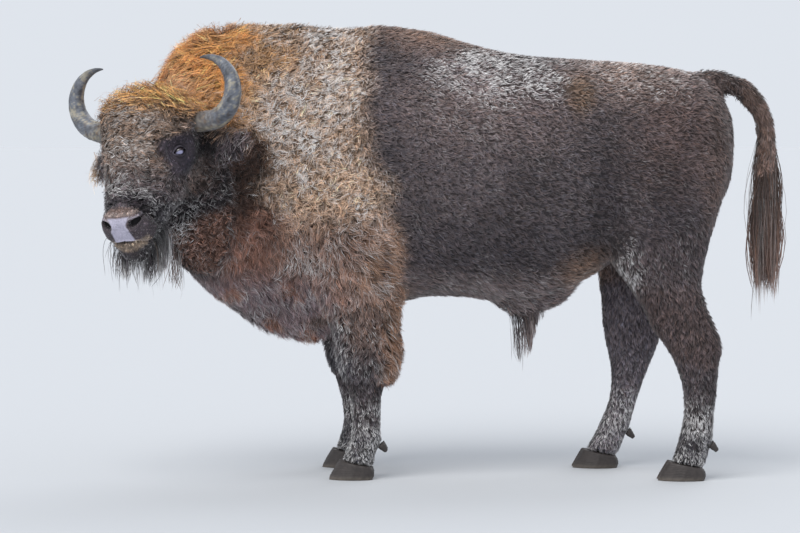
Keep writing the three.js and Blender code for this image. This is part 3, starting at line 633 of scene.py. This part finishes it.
frost = blend_regions(
    0.07, (back_snow, 1.0), (near(body, (0.95, 0, 1.62), (0.40, 0.8, 0.22)), 0.65), (belly_now, 0.25),
    (near(body, (0.25, 0, 1.42), (0.35, 0.8, 0.22)), 0.3), (mane_now, 0.40),
    (mane_now * frost_band, 1.0), (golden, 0.32), (orange, 0.10), (ridge, 0.15), (neck_side, 0.05),
    (rusty, 0.15), (brisket, 0.35), (thigh_now, 0.12), (upper_now * (along_body > 0.5), 0.05),
    (fore_now, 0.20), (0.8 * low_front, 0.5), (cannon_now, 0.10),
    (limb_now * ramp(0.36 - height, 0, 0.08), 0.80), (stifle, 0.6), (hip_patch, 0.08),
    (face_now, 0.46), (brow_now, 0.36), (face_side, 0.17), (jowl, 0.36), (bridge, 0.12),
    (crown_now, 0.06), (held(1.3 * cheek), 0.14), (behind_jaw, 0.16), (jaw_line, 0.8),
    (beard_roots, 0.95), (eye_patch, 0.0), (ear_now, 0.2), (tail_now, 0.04), (muzzle_now, 0.1),
    (chin_now * (head_z > -0.03), 0.1), (held(1.5 * shaded_ear_hollow), 0.0))
frost = held(frost * (0.85 + 0.40 * ripple(places, 0.10, 8)))
frost = frost * (1 - bare)
# The hide is painted darker than the coat where the hair is long, as the shade under the hair.
hide_pelt = pelt * (0.42 + 0.4 * eye_patch + 0.4 * muzzle_now)[:, None]
# On the hide: the pale nose pad, a painted highlight on the upper lids, painted shade in the lid folds and
# nostrils, and the dark lid margins and lips.
for region, colour in (
        (bare, (184, 180, 198)), (0.7 * lid_rim_highlight, (132, 124, 138)), (0.7 * lid_fold_shade, (24, 20, 26)),
        (lid_margin, (14, 12, 20)), (0.9 * lip, (16, 13, 15)), (1.5 * nostril, (18, 15, 17))):
    hide_pelt = dyed(hide_pelt, region, *colour)


def give_mesh(name, corners, faces, face_size):
    """A mesh from arrays, every face with the same number of corners."""
    mesh = bpy.data.meshes.new(name)
    mesh.vertices.add(len(corners))
    mesh.vertices.foreach_set("co", corners.astype(np.float32).ravel())
    mesh.loops.add(faces.size)
    mesh.loops.foreach_set("vertex_index", faces.astype(np.int32).ravel())
    mesh.polygons.add(len(faces))
    mesh.polygons.foreach_set("loop_start", np.arange(0, faces.size, face_size, dtype=np.int32))
    mesh.update(calc_edges=True)
    return mesh


def give_values(mesh, name, values, domain="POINT"):
    kind = "FLOAT" if values.ndim == 1 else "FLOAT_COLOR"
    layer = mesh.attributes.new(name, kind, domain)
    if kind == "FLOAT":
        layer.data.foreach_set("value", values.astype(np.float32))
    else:
        full = np.ones((len(values), 4), dtype=np.float32)
        full[:, :3] = values
        layer.data.foreach_set("color", full.ravel())


def shade_smooth(mesh):
    mesh.polygons.foreach_set("use_smooth", np.ones(len(mesh.polygons), dtype=bool))


def place_piece(name, mesh, material):
    mesh.materials.append(material)
    piece = bpy.data.objects.new(name, mesh)
    bpy.context.collection.objects.link(piece)
    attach(piece, "root")
    return piece


class Nodes:
    """Short ways to add the nodes of one material."""

    def __init__(self, material):
        self.tree = material.node_tree

    def add(self, kind, **values):
        node = self.tree.nodes.new("ShaderNode" + kind)
        for name, value in values.items():
            setattr(node, name, value)
        return node

    def link(self, source, target):
        self.tree.links.new(source, target)

    def feed(self, source, socket):
        """Links a socket, or sets a number or a colour."""
        if hasattr(source, "links"):
            self.link(source, socket)
        elif isinstance(source, float):
            socket.default_value = source
        else:
            socket.default_value = (*source[:3], 1)

    def attribute(self, name, output="Fac"):
        return self.add("Attribute", attribute_name=name).outputs[output]

    def noise(self, scale, detail=3.0):
        coordinates = self.add("TexCoord")
        noise = self.add("TexNoise")
        noise.inputs["Scale"].default_value = scale
        noise.inputs["Detail"].default_value = detail
        self.link(coordinates.outputs["Object"], noise.inputs["Vector"])
        return noise.outputs["Fac"]

    def spread(self, source, low, high):
        """A 0 to 1 value spread over the range low to high."""
        node = self.add("MapRange")
        node.inputs["To Min"].default_value = low
        node.inputs["To Max"].default_value = high
        self.link(source, node.inputs["Value"])
        return node.outputs["Result"]

    def mix(self, amount, first, second, blend="MIX"):
        node = self.add("Mix", data_type="RGBA", blend_type=blend)
        self.feed(amount, node.inputs[0])
        self.feed(first, node.inputs[6])
        self.feed(second, node.inputs[7])
        return node.outputs[2]

    def times(self, first, second):
        return self.mix(1.0, first, second, "MULTIPLY")

    def bump(self, height, strength, distance):
        node = self.add("Bump")
        node.inputs["Strength"].default_value = strength
        node.inputs["Distance"].default_value = distance
        self.link(height, node.inputs["Height"])
        return node.outputs["Normal"]


# The hide's own finish: dull under the fur, damp and pebbled on the bare nose.
hide_material, hide_shader = principled("hide", (0.05, 0.04, 0.035), 0.8)
n = Nodes(hide_material)
colour = n.attribute("pelt", "Color")
shadow = n.spread(n.noise(160), 0.55, 1.35)
n.link(n.times(colour, shadow), hide_shader.inputs["Base Color"])
wet = n.attribute("bare")
n.link(n.spread(wet, 0.85, 0.42), hide_shader.inputs["Roughness"])
pebbles = n.add("TexVoronoi")
pebbles.inputs["Scale"].default_value = 260
n.link(n.add("TexCoord").outputs["Object"], pebbles.inputs["Vector"])
curls = n.noise(220, 4)
relief = n.mix(wet, curls, pebbles.outputs["Distance"])
n.link(n.bump(relief, 0.7, 0.004), hide_shader.inputs["Normal"])

hide_mesh.vertices.foreach_set("co", places.ravel())
hide_mesh.update()
give_values(hide_mesh, "pelt", hide_pelt)
give_values(hide_mesh, "bare", bare)
hide_mesh.materials.clear()
shade_smooth(hide_mesh)
hide_piece = place_piece("skin", hide_mesh, hide_material)
hide_mesh.name = "skin"
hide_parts(*[name for name in flesh_nodes if name not in hair_only])

# The hide is unwrapped by its own shape, so that each tuft has its own place.
bpy.context.view_layer.objects.active = hide_piece
hide_piece.select_set(True)
bpy.ops.object.mode_set(mode="EDIT")
bpy.ops.mesh.select_all(action="SELECT")
bpy.ops.uv.smart_project(angle_limit=math.radians(66), island_margin=0.002)
bpy.ops.object.mode_set(mode="OBJECT")
hide_mesh.uv_layers.active.name = "OFBake"


# ------------------------------------------------------------------ coat
# Winter fur: narrow locks of hair rooted in the hide, each a thin curved strip
# that lies along the body. They grow area by area, longest on crown and throat.
hide_mesh.calc_loop_triangles()
triangles = read(hide_mesh.loop_triangles, "vertices", 3, np.int32)
triangle_loops = read(hide_mesh.loop_triangles, "loops", 3, np.int32)
unwrap = read(hide_mesh.uv_layers["OFBake"].data, "uv", 2)
first, second, third = (places[triangles[:, corner]] for corner in range(3))
triangle_area = np.linalg.norm(np.cross(second - first, third - first), axis=1) / 2

coat_length = blend_regions(
    0.026, (mane_now, 0.033), (golden, 0.040), (orange, 0.060), (throat_now, 0.060), (belly_now, 0.038),
    (thigh_now, 0.024), (upper_now, 0.026), (fore_now, 0.046), (cannon_now, 0.020), (foot_now, 0.018),
    (tail_now, 0.040), (face_now, 0.026), (brow_now, 0.034), (crown_now, 0.082), (ear_now, 0.052),
    (eye_patch, 0.008), (shaded_ear_hollow, 0.012), (muzzle_now, 0.006), (chin_now, 0.012))
coat_length = coat_length + 0.040 * held(1.3 * forelock) + 0.020 * ridge
coat_length = coat_length + 0.030 * held(1.4 * elbow) + 0.030 * fore_now * faces_back
coat_width = blend_regions(
    0.0034, (mane_now, 0.0030), (orange, 0.0024), (forelock, 0.0022), (limb_now, 0.0032),
    (thigh_now, 0.0032), (face_now, 0.0032), (crown_now, 0.0022), (eye_patch, 0.0020),
    (muzzle_now, 0.0015), (ear_now, 0.0028))
coat_lift = blend_regions(
    0.70, (mane_now, 1.0), (throat_now, 0.75), (limb_now, 0.55), (fore_now, 0.85), (thigh_now, 0.6),
    (tail_now, 0.65), (face_now, 1.0), (brow_now, 1.2), (crown_now, 1.38), (ear_now, 0.9),
    (eye_patch, 0.35), (muzzle_now, 0.25), (held(elbow), 0.9))
coat_curl = blend_regions(
    0.18, (mane_now, 0.42), (throat_now, 0.14), (limb_now, 0.10), (thigh_now, 0.12), (tail_now, 0.08),
    (face_now, 0.34), (brow_now, 0.42), (crown_now, 0.36), (eye_patch, 0.04), (muzzle_now, 0.02),
    (held(elbow), 0.10))


def lay(region, direction):
    global lie
    lie = lie + (np.array(direction, dtype=float) - lie) * held(region)[:, None]


def in_head(x, y, z):
    return HEAD_TO_WORLD @ np.array([x, y, z], dtype=float)


lie = np.tile(np.array([1.0, 0, -0.35]), (vertex_count, 1))
lay(mane_now, (0.62, 0.05, -0.78))
lay(throat_now, (0.30, 0.0, -0.95))
lay(ramp(along_body, 1.15, 1.3), (0.5, 0, -1))
lay(thigh_now, (0.30, 0, -1))
lay(limb_now, (0.12, 0, -1))
lay(0.8 * forelock, (-0.8, 0, 0.5))
lay(fore_now * faces_back, (0.9, 0, -1))
lay(1.4 * elbow, (1.0, 0, -0.55))
lay(tail_now * ramp(1.46 - height, 0, 0.1), (0.0, 0, -1))
lay(face_now, in_head(-0.75, 0, -0.55))
lay(brow_now, in_head(-1, 0, 0.1))
lay(crown_now, in_head(-0.9, 0, 0.6))
lay(muzzle_now, in_head(1, 0, -0.25))
lay(beard_roots, in_head(0.5, 0, -0.9))
ear_lie = np.column_stack([np.full(vertex_count, -0.35), np.sign(head_y), np.zeros(vertex_count)])
ear_lie = ear_lie @ HEAD_TO_WORLD.T
lie = lie + (ear_lie - lie) * ear_now[:, None]
swirl = np.column_stack([ripple(places, 0.13, seed) for seed in (21, 22, 23)])
swirling = blend_regions(0.16, (mane_now, 0.30), (limb_now, 0.08), (face_now, 0.2), (brow_now, 0.6))
lie = unit(lie) + swirl * swirling[:, None]
lie = lie - normals * np.sum(lie * normals, axis=1, keepdims=True)
lie = unit(lie)
BARE_ROUND_EYE = 0.015
cover = 1 - held((bare + nostril) * 1.3)
eye_distance = np.linalg.norm(mirror_head - np.array(EYE_AT), axis=1)
cover[(eye_distance < EYE_RADIUS + BARE_ROUND_EYE) & (face_now > 0.5)] = 0

RIME_WHITE = (0.86, 0.84, 0.83)
coat_material, coat_shader = principled(
    "winter_coat", (0.1, 0.08, 0.07), 0.75, Sheen_Weight=0.35, Sheen_Roughness=0.45, Specular_IOR_Level=0.3)
n = Nodes(coat_material)
along = n.attribute("along")
base = n.attribute("pelt", "Color")
streak = n.spread(n.noise(900, 2), 0.75, 1.3)
base = n.times(base, streak)
# Painted shade deep in the coat: each lock is darker at its root and lighter at its tip.
root_shade = n.spread(along, 0.18, 1.60)
base = n.times(base, root_shade)
rime = n.add("Math", operation="MULTIPLY")
n.link(n.attribute("frost"), rime.inputs[0])
n.link(n.spread(along, -0.35, 1.75), rime.inputs[1])
base = n.mix(rime.outputs[0], base, RIME_WHITE)
n.link(base, coat_shader.inputs["Base Color"])


LOCK_LIES_ON = 0.12
LOCK_DROOPS = 0.38
LOWEST_HAIR = 0.002
UNWRAP_PATCH = 0.003


def grow(name, wanted, count, segments, seed, replaces=(), gather=0.35, clump=0.022, length=None,
         width=None, lift=None, curl=None, hang=0.0, spread=0.35, patchwork=0.30, dye=None):
    """Grows `count` locks on the hide where `wanted` (per vertex) is over 0."""
    chance = np.random.default_rng(seed)
    weight = triangle_area * wanted[triangles].mean(axis=1)
    reach = np.cumsum(weight)
    pick = np.searchsorted(reach, chance.uniform(0, reach[-1], count))
    pick = np.minimum(pick, len(triangles) - 1)
    u, v = chance.uniform(size=(2, count))
    flip = u + v > 1
    u[flip] = 1 - u[flip]
    v[flip] = 1 - v[flip]
    share = np.column_stack([1 - u - v, u, v])

    def at_roots(values, corners_of=triangles):
        return np.einsum("ij,ij...->i...", share, values[corners_of[pick]])

    # Locks that share a clump share its bend, tone and rime, and lean together.
    root = at_roots(places)
    cell = np.floor(root / clump + 0.35 * chance.uniform(-1, 1, (count, 3))).astype(np.int64)
    key = cell[:, 0] * 73856093 ^ cell[:, 1] * 19349663 ^ cell[:, 2] * 83492791
    _, group = np.unique(key, return_inverse=True)
    crowd = np.bincount(group)

    def shared(scale):
        return scale * chance.normal(size=len(crowd))[group]

    outward = unit(at_roots(normals))
    flow = unit(at_roots(lie))
    flow = flow - outward * np.sum(flow * outward, axis=1, keepdims=True)
    sideways = np.cross(outward, flow)
    turn = (shared(0.8 * spread) + chance.normal(0, 0.6 * spread, count))[:, None]
    flow = unit(flow * np.cos(turn) + sideways * np.sin(turn))
    sideways = unit(np.cross(outward, flow))

    def own(given, usual, least, most):
        whole = usual if given is None else given + np.zeros(vertex_count)
        return at_roots(whole) * chance.uniform(least, most, count)

    hair_length = own(length, coat_length, 0.7, 1.3)
    hair_width = own(width, coat_width, 0.75, 1.25)
    hair_lift = own(lift, coat_lift, 0.6, 1.35)
    hair_curl = own(curl, coat_curl, 0.3, 1.7)
    phase = shared(2.0) + chance.normal(0, 0.4, count)
    turns = np.clip(0.7 + shared(0.15), 0.4, 1)
    bend_side = np.sign(shared(1.0))

    # A lock leaves its root at its lift and lies over, or hangs down if it is long.
    steps = np.linspace(0, 1, segments + 1)
    long = hair_length[:, None]
    forward = long * np.cos(hair_lift)[:, None] * steps + LOCK_LIES_ON * long * steps ** 2
    rise = long * np.sin(hair_lift)[:, None] * (steps - LOCK_DROOPS * steps ** 2)
    path = root[:, None, :] + forward[:, :, None] * flow[:, None, :]
    path = path + rise[:, :, None] * outward[:, None, :]
    if hang:
        first_way = np.cos(hair_lift)[:, None] * flow + np.sin(hair_lift)[:, None] * outward
        fall = 1 - np.exp(-hang * (steps[1:] + steps[:-1]) / 2)
        way = first_way[:, None, :] * (1 - fall)[None, :, None]
        way = unit(way + np.array([0, 0, -1.0]) * fall[None, :, None])
        path[:, 1:] = root[:, None, :] + np.cumsum(way, axis=1) * (hair_length / segments)[:, None, None]
    wave = np.sin(2 * math.pi * turns[:, None] * steps + phase[:, None]) - np.sin(phase)[:, None]
    sway = (hair_curl * hair_length * bend_side)[:, None] * wave
    path = path + sway[:, :, None] * sideways[:, None, :]
    for axis in range(3):
        tip_mean = (np.bincount(group, path[:, -1, axis]) / crowd)[group]
        pull = gather * (tip_mean - path[:, -1, axis])
        path[:, :, axis] += pull[:, None] * steps ** 1.5
    path[:, :, 2] = np.maximum(path[:, :, 2], LOWEST_HAIR)

    tangent = unit(np.gradient(path, axis=1))
    roll = chance.normal(0, 0.5, count)[:, None, None]
    across = unit(np.cross(outward[:, None, :], tangent))
    across = across * np.cos(roll) + np.cross(tangent, across) * np.sin(roll)
    half_width = hair_width[:, None] * (0.55 + 0.9 * steps - 1.0 * steps ** 2) / 2

    # The corners of a lock: left and right at each step, and one at the tip.
    per_lock = 2 * segments + 1
    step_of = np.append(np.repeat(np.arange(segments), 2), segments)
    side_of = np.append(np.tile([-1, 1], segments), 0)
    corners = path[:, step_of] + across[:, step_of] * (half_width[:, step_of] * side_of)[:, :, None]
    pattern = []
    for row in range(segments - 1):
        a = 2 * row
        pattern += [(a, a + 3, a + 1), (a, a + 2, a + 3)]
    a = 2 * (segments - 1)
    pattern.append((a, a + 2, a + 1))
    pattern = np.array(pattern)
    faces = (pattern[None] + (np.arange(count) * per_lock)[:, None, None]).reshape(-1, 3)
    mesh = give_mesh(name, corners.reshape(-1, 3), faces, 3)

    # Shading follows the hide under the locks more than each strip's own turn.
    strip = np.cross(tangent, across)
    strip = strip * np.sign(np.sum(strip * outward[:, None, :], axis=2, keepdims=True))
    soft = unit(0.62 * outward[:, None, :] + 0.38 * strip + 0.18 * tangent)
    layer = mesh.attributes.new("custom_normal", "FLOAT_VECTOR", "POINT")
    layer.data.foreach_set("vector", soft[:, step_of].astype(np.float32).ravel())

    tone = shared(patchwork) + chance.normal(-0.05, 0.9 * patchwork, count)
    tone = at_roots(pelt if dye is None else dye) * np.exp(tone)[:, None]
    tone = tone * (1 + 0.07 * chance.normal(size=(count, 1)) * np.array([1.0, 0.1, -0.8]))
    give_values(mesh, "pelt", np.repeat(held(tone), per_lock, axis=0))
    give_values(mesh, "along", np.tile(steps[step_of], count))
    frosted = at_roots(frost)
    rimed = frosted * np.exp(shared(0.5)) * (chance.uniform(size=count) < 0.2 + 0.7 * frosted)
    rimed = rimed * chance.uniform(0.4, 1.3, count)
    give_values(mesh, "frost", np.repeat(held(rimed), per_lock))

    patch = np.column_stack([side_of * 0.5, steps[step_of] - 0.5])
    at_unwrap = at_roots(unwrap, triangle_loops)
    spots = (at_unwrap[:, None, :] + UNWRAP_PATCH * patch[None]).reshape(-1, 2)
    uv = mesh.uv_layers.new(name="OFBake")
    uv.data.foreach_set("uv", spots[faces.ravel()].astype(np.float32).ravel())
    piece = place_piece(name, mesh, coat_material)
    if replaces:
        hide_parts(*replaces)


share_of_locks = 1.0


def locks(count):
    return int(count * share_of_locks)


on_face = (face_now > 0.5) | (ear_now > 0.5)
on_neck = (parts_like("neck") > 0) & ~on_face
on_limb = (limb_now > 0.5) | (thigh_now > 0.5)
on_tail = tail_now > 0.5
on_rear = along_body > 0.40
on_shoulder = mane_now > 0.5
trunk_rest = ~(on_face | on_neck | on_limb | on_tail)
grow("coat_head", cover * on_face * (1 + 1.5 * brow_now + 1.5 * eye_patch + 3 * muzzle_now),
     locks(39000), 3, 101, gather=0.70, clump=0.012, patchwork=0.38)
grow("coat_neck", cover * on_neck, locks(65000), 2, 102, gather=0.62, clump=0.015)
grow("coat_shoulders", cover * (trunk_rest & on_shoulder), locks(65000), 2, 103,
     gather=0.62, clump=0.015)
grow("coat_barrel", cover * (trunk_rest & ~on_shoulder & ~on_rear), locks(65000), 2, 104,
     gather=0.35, clump=0.011, patchwork=0.20)
grow("coat_rump", cover * (trunk_rest & ~on_shoulder & on_rear), locks(65000), 2, 105,
     gather=0.35, clump=0.011, patchwork=0.20)
grow("coat_forelegs", cover * (on_limb & ~on_rear), locks(39000), 3, 106,
     gather=0.55, clump=0.016)
grow("coat_hindlegs", cover * (on_limb & on_rear), locks(62000), 2, 107,
     gather=0.5, clump=0.012)
grow("coat_tail", cover * on_tail, locks(7000), 3, 108)


# ------------------------------------------------------------------ ear hair
# Long tan hair hangs in wisps from the inner, lower edge of each ear.
under_ear = near(mirror_head, (-0.085, 0.225, -0.175), (0.05, 0.06, 0.05))
tan_hair = dyed(pelt, 2 * under_ear, 150, 122, 98)
grow("ear_hair", under_ear, locks(600), 5, 110, gather=0.5, clump=0.018, length=0.075,
     width=0.0028, lift=0.6, curl=0.10, hang=2.5, spread=0.5, dye=tan_hair)


# ------------------------------------------------------------------ beard
# The long hair of chin and throat hangs straight down in thin locks, rimed at
# their ends. It grows from the hide behind the lower lip.
grow("beard_hair", beard_roots, locks(1300), 7, 111, ("beard",), gather=0.70, clump=0.018,
     length=0.155, width=0.0026, lift=0.8, curl=0.08, hang=4.0, spread=0.4)


# ------------------------------------------------------------------ sheath hair
# A tassel of long, thin hair that hangs from the front end of the sheath.
sheath_end = near(body, (0.50, 0.0, 0.63), (0.11, 0.07, 0.09)) * (height < 0.66)
sheath_length = 0.045 + 0.16 * ramp(0.55 - along_body, 0, 0.10)
grow("sheath_hair", sheath_end, locks(300), 7, 112, ("sheath_tuft",), gather=0.75,
     clump=0.03, length=sheath_length, width=0.0030, lift=0.6, curl=0.07, hang=3.5, spread=0.4)


# ------------------------------------------------------------------ tail hair
# The long tassel of the tail: strands that start along the lower dock and hang
# together to the height of the hocks.
dock = is_tail * ramp(1.42 - height, 0, 0.06)
dock_length = (height - 0.72) / 1.12 * (0.90 + 0.22 * ripple(places, 0.022, 51))
grow("tail_hair", dock, locks(2800), 9, 113, ("tail_tuft",), gather=0.55,
     clump=0.022, length=dock_length, width=0.0034, lift=0.40, curl=0.04, hang=24.0, spread=0.11)


# ------------------------------------------------------------------ horns
# Two hollow sheaths of grey horn on bony cores. They grow out, up and in, with
# rough rings at the root, worn pale patches and a darker tip.
HORN_ROOT_HALF_SPACING = 0.120
HORN_BEND_HALF_SPACING = 0.243
HORN_BEND_RADIUS = 0.123
HORN_SWEEP = math.radians(187)
HORN_ROOT_RADIUS = 0.040
HORN_STRAIGHT = 0.16
HORN_BURIED = 0.05
HORN_RINGS = 110
HORN_POINTS = 40
HORN_TIP_POINT = 0.002


def tube_faces(rings, points):
    """Triangles between rings of points, each ring with the next."""
    rows = []
    for ring in range(rings - 1):
        a = ring * points + np.arange(points)
        b = ring * points + (np.arange(points) + 1) % points
        rows.append(np.column_stack([a, b, b + points]))
        rows.append(np.column_stack([a, b + points, a + points]))
    return np.vstack(rows)


horn_material, horn_shader = principled(
    "horn_sheath", (0.15, 0.16, 0.19), 0.45, Coat_Weight=0.12, Coat_Roughness=0.35)
n = Nodes(horn_material)
tone = n.attribute("pelt", "Color")
blotch = n.noise(38, 5)
n.link(n.times(tone, n.spread(blotch, 0.1, 1.9)), horn_shader.inputs["Base Color"])
n.link(n.spread(n.noise(70, 4), 0.30, 0.62), horn_shader.inputs["Roughness"])
grain = n.noise(420, 3)
n.link(n.bump(grain, 0.35, 0.0015), horn_shader.inputs["Normal"])

run = np.linspace(-HORN_BURIED, 1, HORN_RINGS)[:, None]
turn = np.linspace(0, 2 * math.pi, HORN_POINTS, endpoint=False)[None, :]
face_up = np.array([math.sin(FACE_DROP), 0, math.cos(FACE_DROP)])
bend = HORN_SWEEP * np.maximum(0, (run - HORN_STRAIGHT) / (1 - HORN_STRAIGHT))
straight = np.minimum(0, (run - HORN_STRAIGHT) / HORN_STRAIGHT)
straight = straight * (HORN_BEND_HALF_SPACING - HORN_ROOT_HALF_SPACING)
outward = HORN_BEND_HALF_SPACING + straight + HORN_BEND_RADIUS * np.sin(bend)
climb = HORN_BEND_RADIUS * (1 - np.cos(bend))
girth = HORN_ROOT_RADIUS * (1 - 0.93 * held(run) ** 2.6)
root_share = 1 - ramp(run, 0.10, 0.55)
rings = np.sin(run * 2 * math.pi / 0.030 + 1.6 * np.sin(turn + run * 9)) * 0.5 + 0.5
round_horn = np.broadcast_arrays(run * 0.6, 0.04 * np.cos(turn), 0.04 * np.sin(turn))
crag = ripple(np.stack(round_horn, -1).reshape(-1, 3), 0.03, 31).reshape(HORN_RINGS, HORN_POINTS)
girth = girth + root_share * (0.0016 * (rings - 0.5) + 0.0012 * crag) + 0.0004 * crag
ring_up = np.cross(face_up, [0, 1, 0])
for side, word in ((-1, "left"), (1, "right")):
    across = np.cos(bend)[..., None] * face_up - side * np.sin(bend)[..., None] * np.array([0, 1, 0])
    centre = np.array([HORN_ROOT.x, 0, HORN_ROOT.z]) + climb[..., None] * face_up
    centre = centre + side * outward[..., None] * np.array([0, 1, 0])
    skin_points = centre + girth[..., None] * (
        np.cos(turn)[..., None] * across + np.sin(turn)[..., None] * ring_up)
    flat = skin_points.reshape(-1, 3)
    tip = centre[-1] + HORN_TIP_POINT * unit(centre[-1] - centre[-2])
    flat = np.vstack([flat, tip.reshape(1, 3), centre[0].reshape(1, 3)])
    flat = flat @ HEAD_TO_WORLD.T + HEAD_ORIGIN
    start = np.arange(HORN_POINTS)
    last = (HORN_RINGS - 1) * HORN_POINTS + start
    faces = np.vstack([
        tube_faces(HORN_RINGS, HORN_POINTS),
        np.column_stack([last, np.roll(last, -1), np.full(HORN_POINTS, len(flat) - 2)]),
        np.column_stack([np.roll(start, -1), start, np.full(HORN_POINTS, len(flat) - 1)])])
    if side < 0:
        faces = faces[:, ::-1]
    mesh = give_mesh("horn_sheath_" + word, flat, faces, 3)
    shade_smooth(mesh)
    along_horn = np.repeat(held(run), HORN_POINTS, axis=1).ravel()
    lengthways = np.stack(np.broadcast_arrays(
        run * 0.16, girth * np.cos(turn), side * girth * np.sin(turn)), -1).reshape(-1, 3)
    worn = ripple(lengthways, 0.030, 32) + 0.7 * ripple(flat[:-2], 0.012, 33)
    tone = np.tile(paint(100, 104, 113), (len(flat), 1))
    craggy = ramp(crag.ravel(), 0.3, 1.2) * root_share.repeat(HORN_POINTS, 1).ravel()
    for amount, colour in (
            (held(worn - 0.1) * 0.8, (164, 156, 136)),
            (held(-worn - 0.4) * 0.8, (52, 54, 60)),
            ((1 - ramp(along_horn, 0.02, 0.34)) * 0.7, (118, 106, 90)),
            (craggy * 0.6, (112, 84, 54)),
            (ramp(along_horn, 0.72, 1.0) * 0.8, (58, 60, 66))):
        tone[:-2] = dyed(tone[:-2], amount, *colour)
    tone[-2] = paint(50, 52, 58)
    give_values(mesh, "pelt", tone)
    piece = place_piece("horn_sheath_" + word, mesh, horn_material)
    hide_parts("horn_" + word)


# ------------------------------------------------------------------ eyes
# Wet, dark eyeballs set between the lids, with a level oblong pupil in a brown
# iris, the cornea swelling over both, and a painted reflection of the pale sky on it.
EYEBALL_LOOKS = (-0.22, 0.80, 0.56)
EYE_RINGS = 40
EYE_POINTS = 48
CORNEA_RISE = 0.0015
LID_CLEARANCE = 0.0006
PUPIL_HALF_LENGTH = 0.0062
PUPIL_HALF_HEIGHT = 0.0036
eye_material, eye_shader = principled(
    "wet_eye", (0.02, 0.012, 0.01), 0.12, IOR=1.45, Coat_Weight=1.0, Coat_Roughness=0.02)
n = Nodes(eye_material)
fibres = n.times(n.attribute("pelt", "Color"), n.spread(n.noise(900, 3), 0.7, 1.3))
n.link(fibres, eye_shader.inputs["Base Color"])
for side, word in ((-1, "left"), (1, "right")):
    centre = on_side(EYE_AT, side)
    gaze, level_way = eye_axes(EYEBALL_LOOKS, side)
    rise_way = np.cross(gaze, level_way)
    tilt = np.linspace(0, math.pi, EYE_RINGS)[:, None]
    turn = np.linspace(0, 2 * math.pi, EYE_POINTS, endpoint=False)[None, :]
    radius = EYE_RADIUS - LID_CLEARANCE + CORNEA_RISE * (1 - ramp(tilt, 0.0, 0.75))
    flat = (radius * np.cos(tilt) * np.ones_like(turn))[..., None] * gaze
    flat = flat + (radius * np.sin(tilt) * np.cos(turn))[..., None] * level_way
    flat = flat + (radius * np.sin(tilt) * np.sin(turn))[..., None] * rise_way
    flat = flat.reshape(-1, 3) + centre
    faces = tube_faces(EYE_RINGS, EYE_POINTS)
    if np.dot(np.cross(level_way, rise_way), gaze) > 0:
        faces = faces[:, ::-1]
    mesh = give_mesh("eyeball_" + word, flat @ HEAD_TO_WORLD.T + HEAD_ORIGIN, faces, 3)
    ball = bmesh.new()
    ball.from_mesh(mesh)
    bmesh.ops.remove_doubles(ball, verts=ball.verts, dist=1e-6)
    ball.to_mesh(mesh)
    ball.free()
    shade_smooth(mesh)
    spots = read(mesh.vertices, "co", 3)
    local = to_head(spots) - centre
    a = local @ level_way
    b = local @ rise_way
    across_pupil = np.hypot(a / PUPIL_HALF_LENGTH, b / PUPIL_HALF_HEIGHT)
    from_gaze = np.hypot(a, b)
    tone = np.tile(paint(34, 28, 34), (len(spots), 1))
    # A painted reflection of the pale sky, low on the cornea.
    sky_reflection = np.hypot((a + 0.003) / 0.0150, (b * np.sign(rise_way[0]) + 0.004) / 0.0075)
    iris_edge = ramp(from_gaze, 0.0105, 0.0125) * (1 - ramp(from_gaze, 0.0130, 0.0145))
    for amount, colour in (
            (1 - ramp(from_gaze, 0.0125, 0.0145), (52, 40, 44)), (iris_edge, (20, 14, 14)),
            (1 - ramp(across_pupil, 0.85, 1.1), (8, 8, 12)), (1 - ramp(sky_reflection, 0.70, 1.15), (146, 145, 178))):
        tone = dyed(tone, amount * (local @ gaze > 0), *colour)
    give_values(mesh, "pelt", tone)
    piece = place_piece("eyeball_" + word, mesh, eye_material)
    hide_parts("eye_" + word)


# ------------------------------------------------------------------ hooves
# Each foot has two dark horn claws with a flat sole and two small dewclaws
# behind. The horn grows down in fine rings and is worn at its ground edge.
HOOF_GRAIN = 0.0035
HOOF_RING_PITCH = 0.009
HOOF_RING_HEIGHT = 0.0006
SOLE_FLAT_BELOW = 0.005
hoof_material, hoof_shader = principled("hoof_horn", (0.03, 0.027, 0.025), 0.5)
n = Nodes(hoof_material)
tone = n.attribute("pelt", "Color")
n.link(n.times(tone, n.spread(n.noise(60, 4), 0.5, 1.6)), hoof_shader.inputs["Base Color"])
n.link(n.spread(n.noise(90, 3), 0.35, 0.75), hoof_shader.inputs["Roughness"])
n.link(n.bump(n.noise(260, 4), 0.4, 0.002), hoof_shader.inputs["Normal"])
for kind in ("hoof", "dewclaw"):
    names = [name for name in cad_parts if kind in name]
    rough = bmesh.new()
    for name in names:
        rough.from_mesh(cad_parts[name].data)
    mesh = wrapped(rough, "rough_" + kind, HOOF_GRAIN, rounding=5)
    spots = read(mesh.vertices, "co", 3)
    waver = 2 * ripple(spots, 0.08, 41)
    rings = HOOF_RING_HEIGHT * np.sin(spots[:, 2] * 2 * math.pi / HOOF_RING_PITCH + waver)
    out = read(mesh.vertex_normals, "vector", 3)
    spots = spots + out * (rings * ramp(spots[:, 2], 0.008, 0.016))[:, None]
    if kind == "hoof":
        spots[:, 2] = np.where(spots[:, 2] < SOLE_FLAT_BELOW, 0.0, spots[:, 2])
    mesh.vertices.foreach_set("co", spots.ravel())
    mesh.update()
    tone = np.tile(paint(54, 48, 46), (len(spots), 1))
    tone = dyed(tone, (1 - ramp(spots[:, 2], 0.0, 0.022)) * 0.7, 96, 88, 80)
    give_values(mesh, "pelt", tone)
    mesh.materials.clear()
    piece = place_piece("hooves" if kind == "hoof" else "dewclaws", mesh, hoof_material)
    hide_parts(*names)
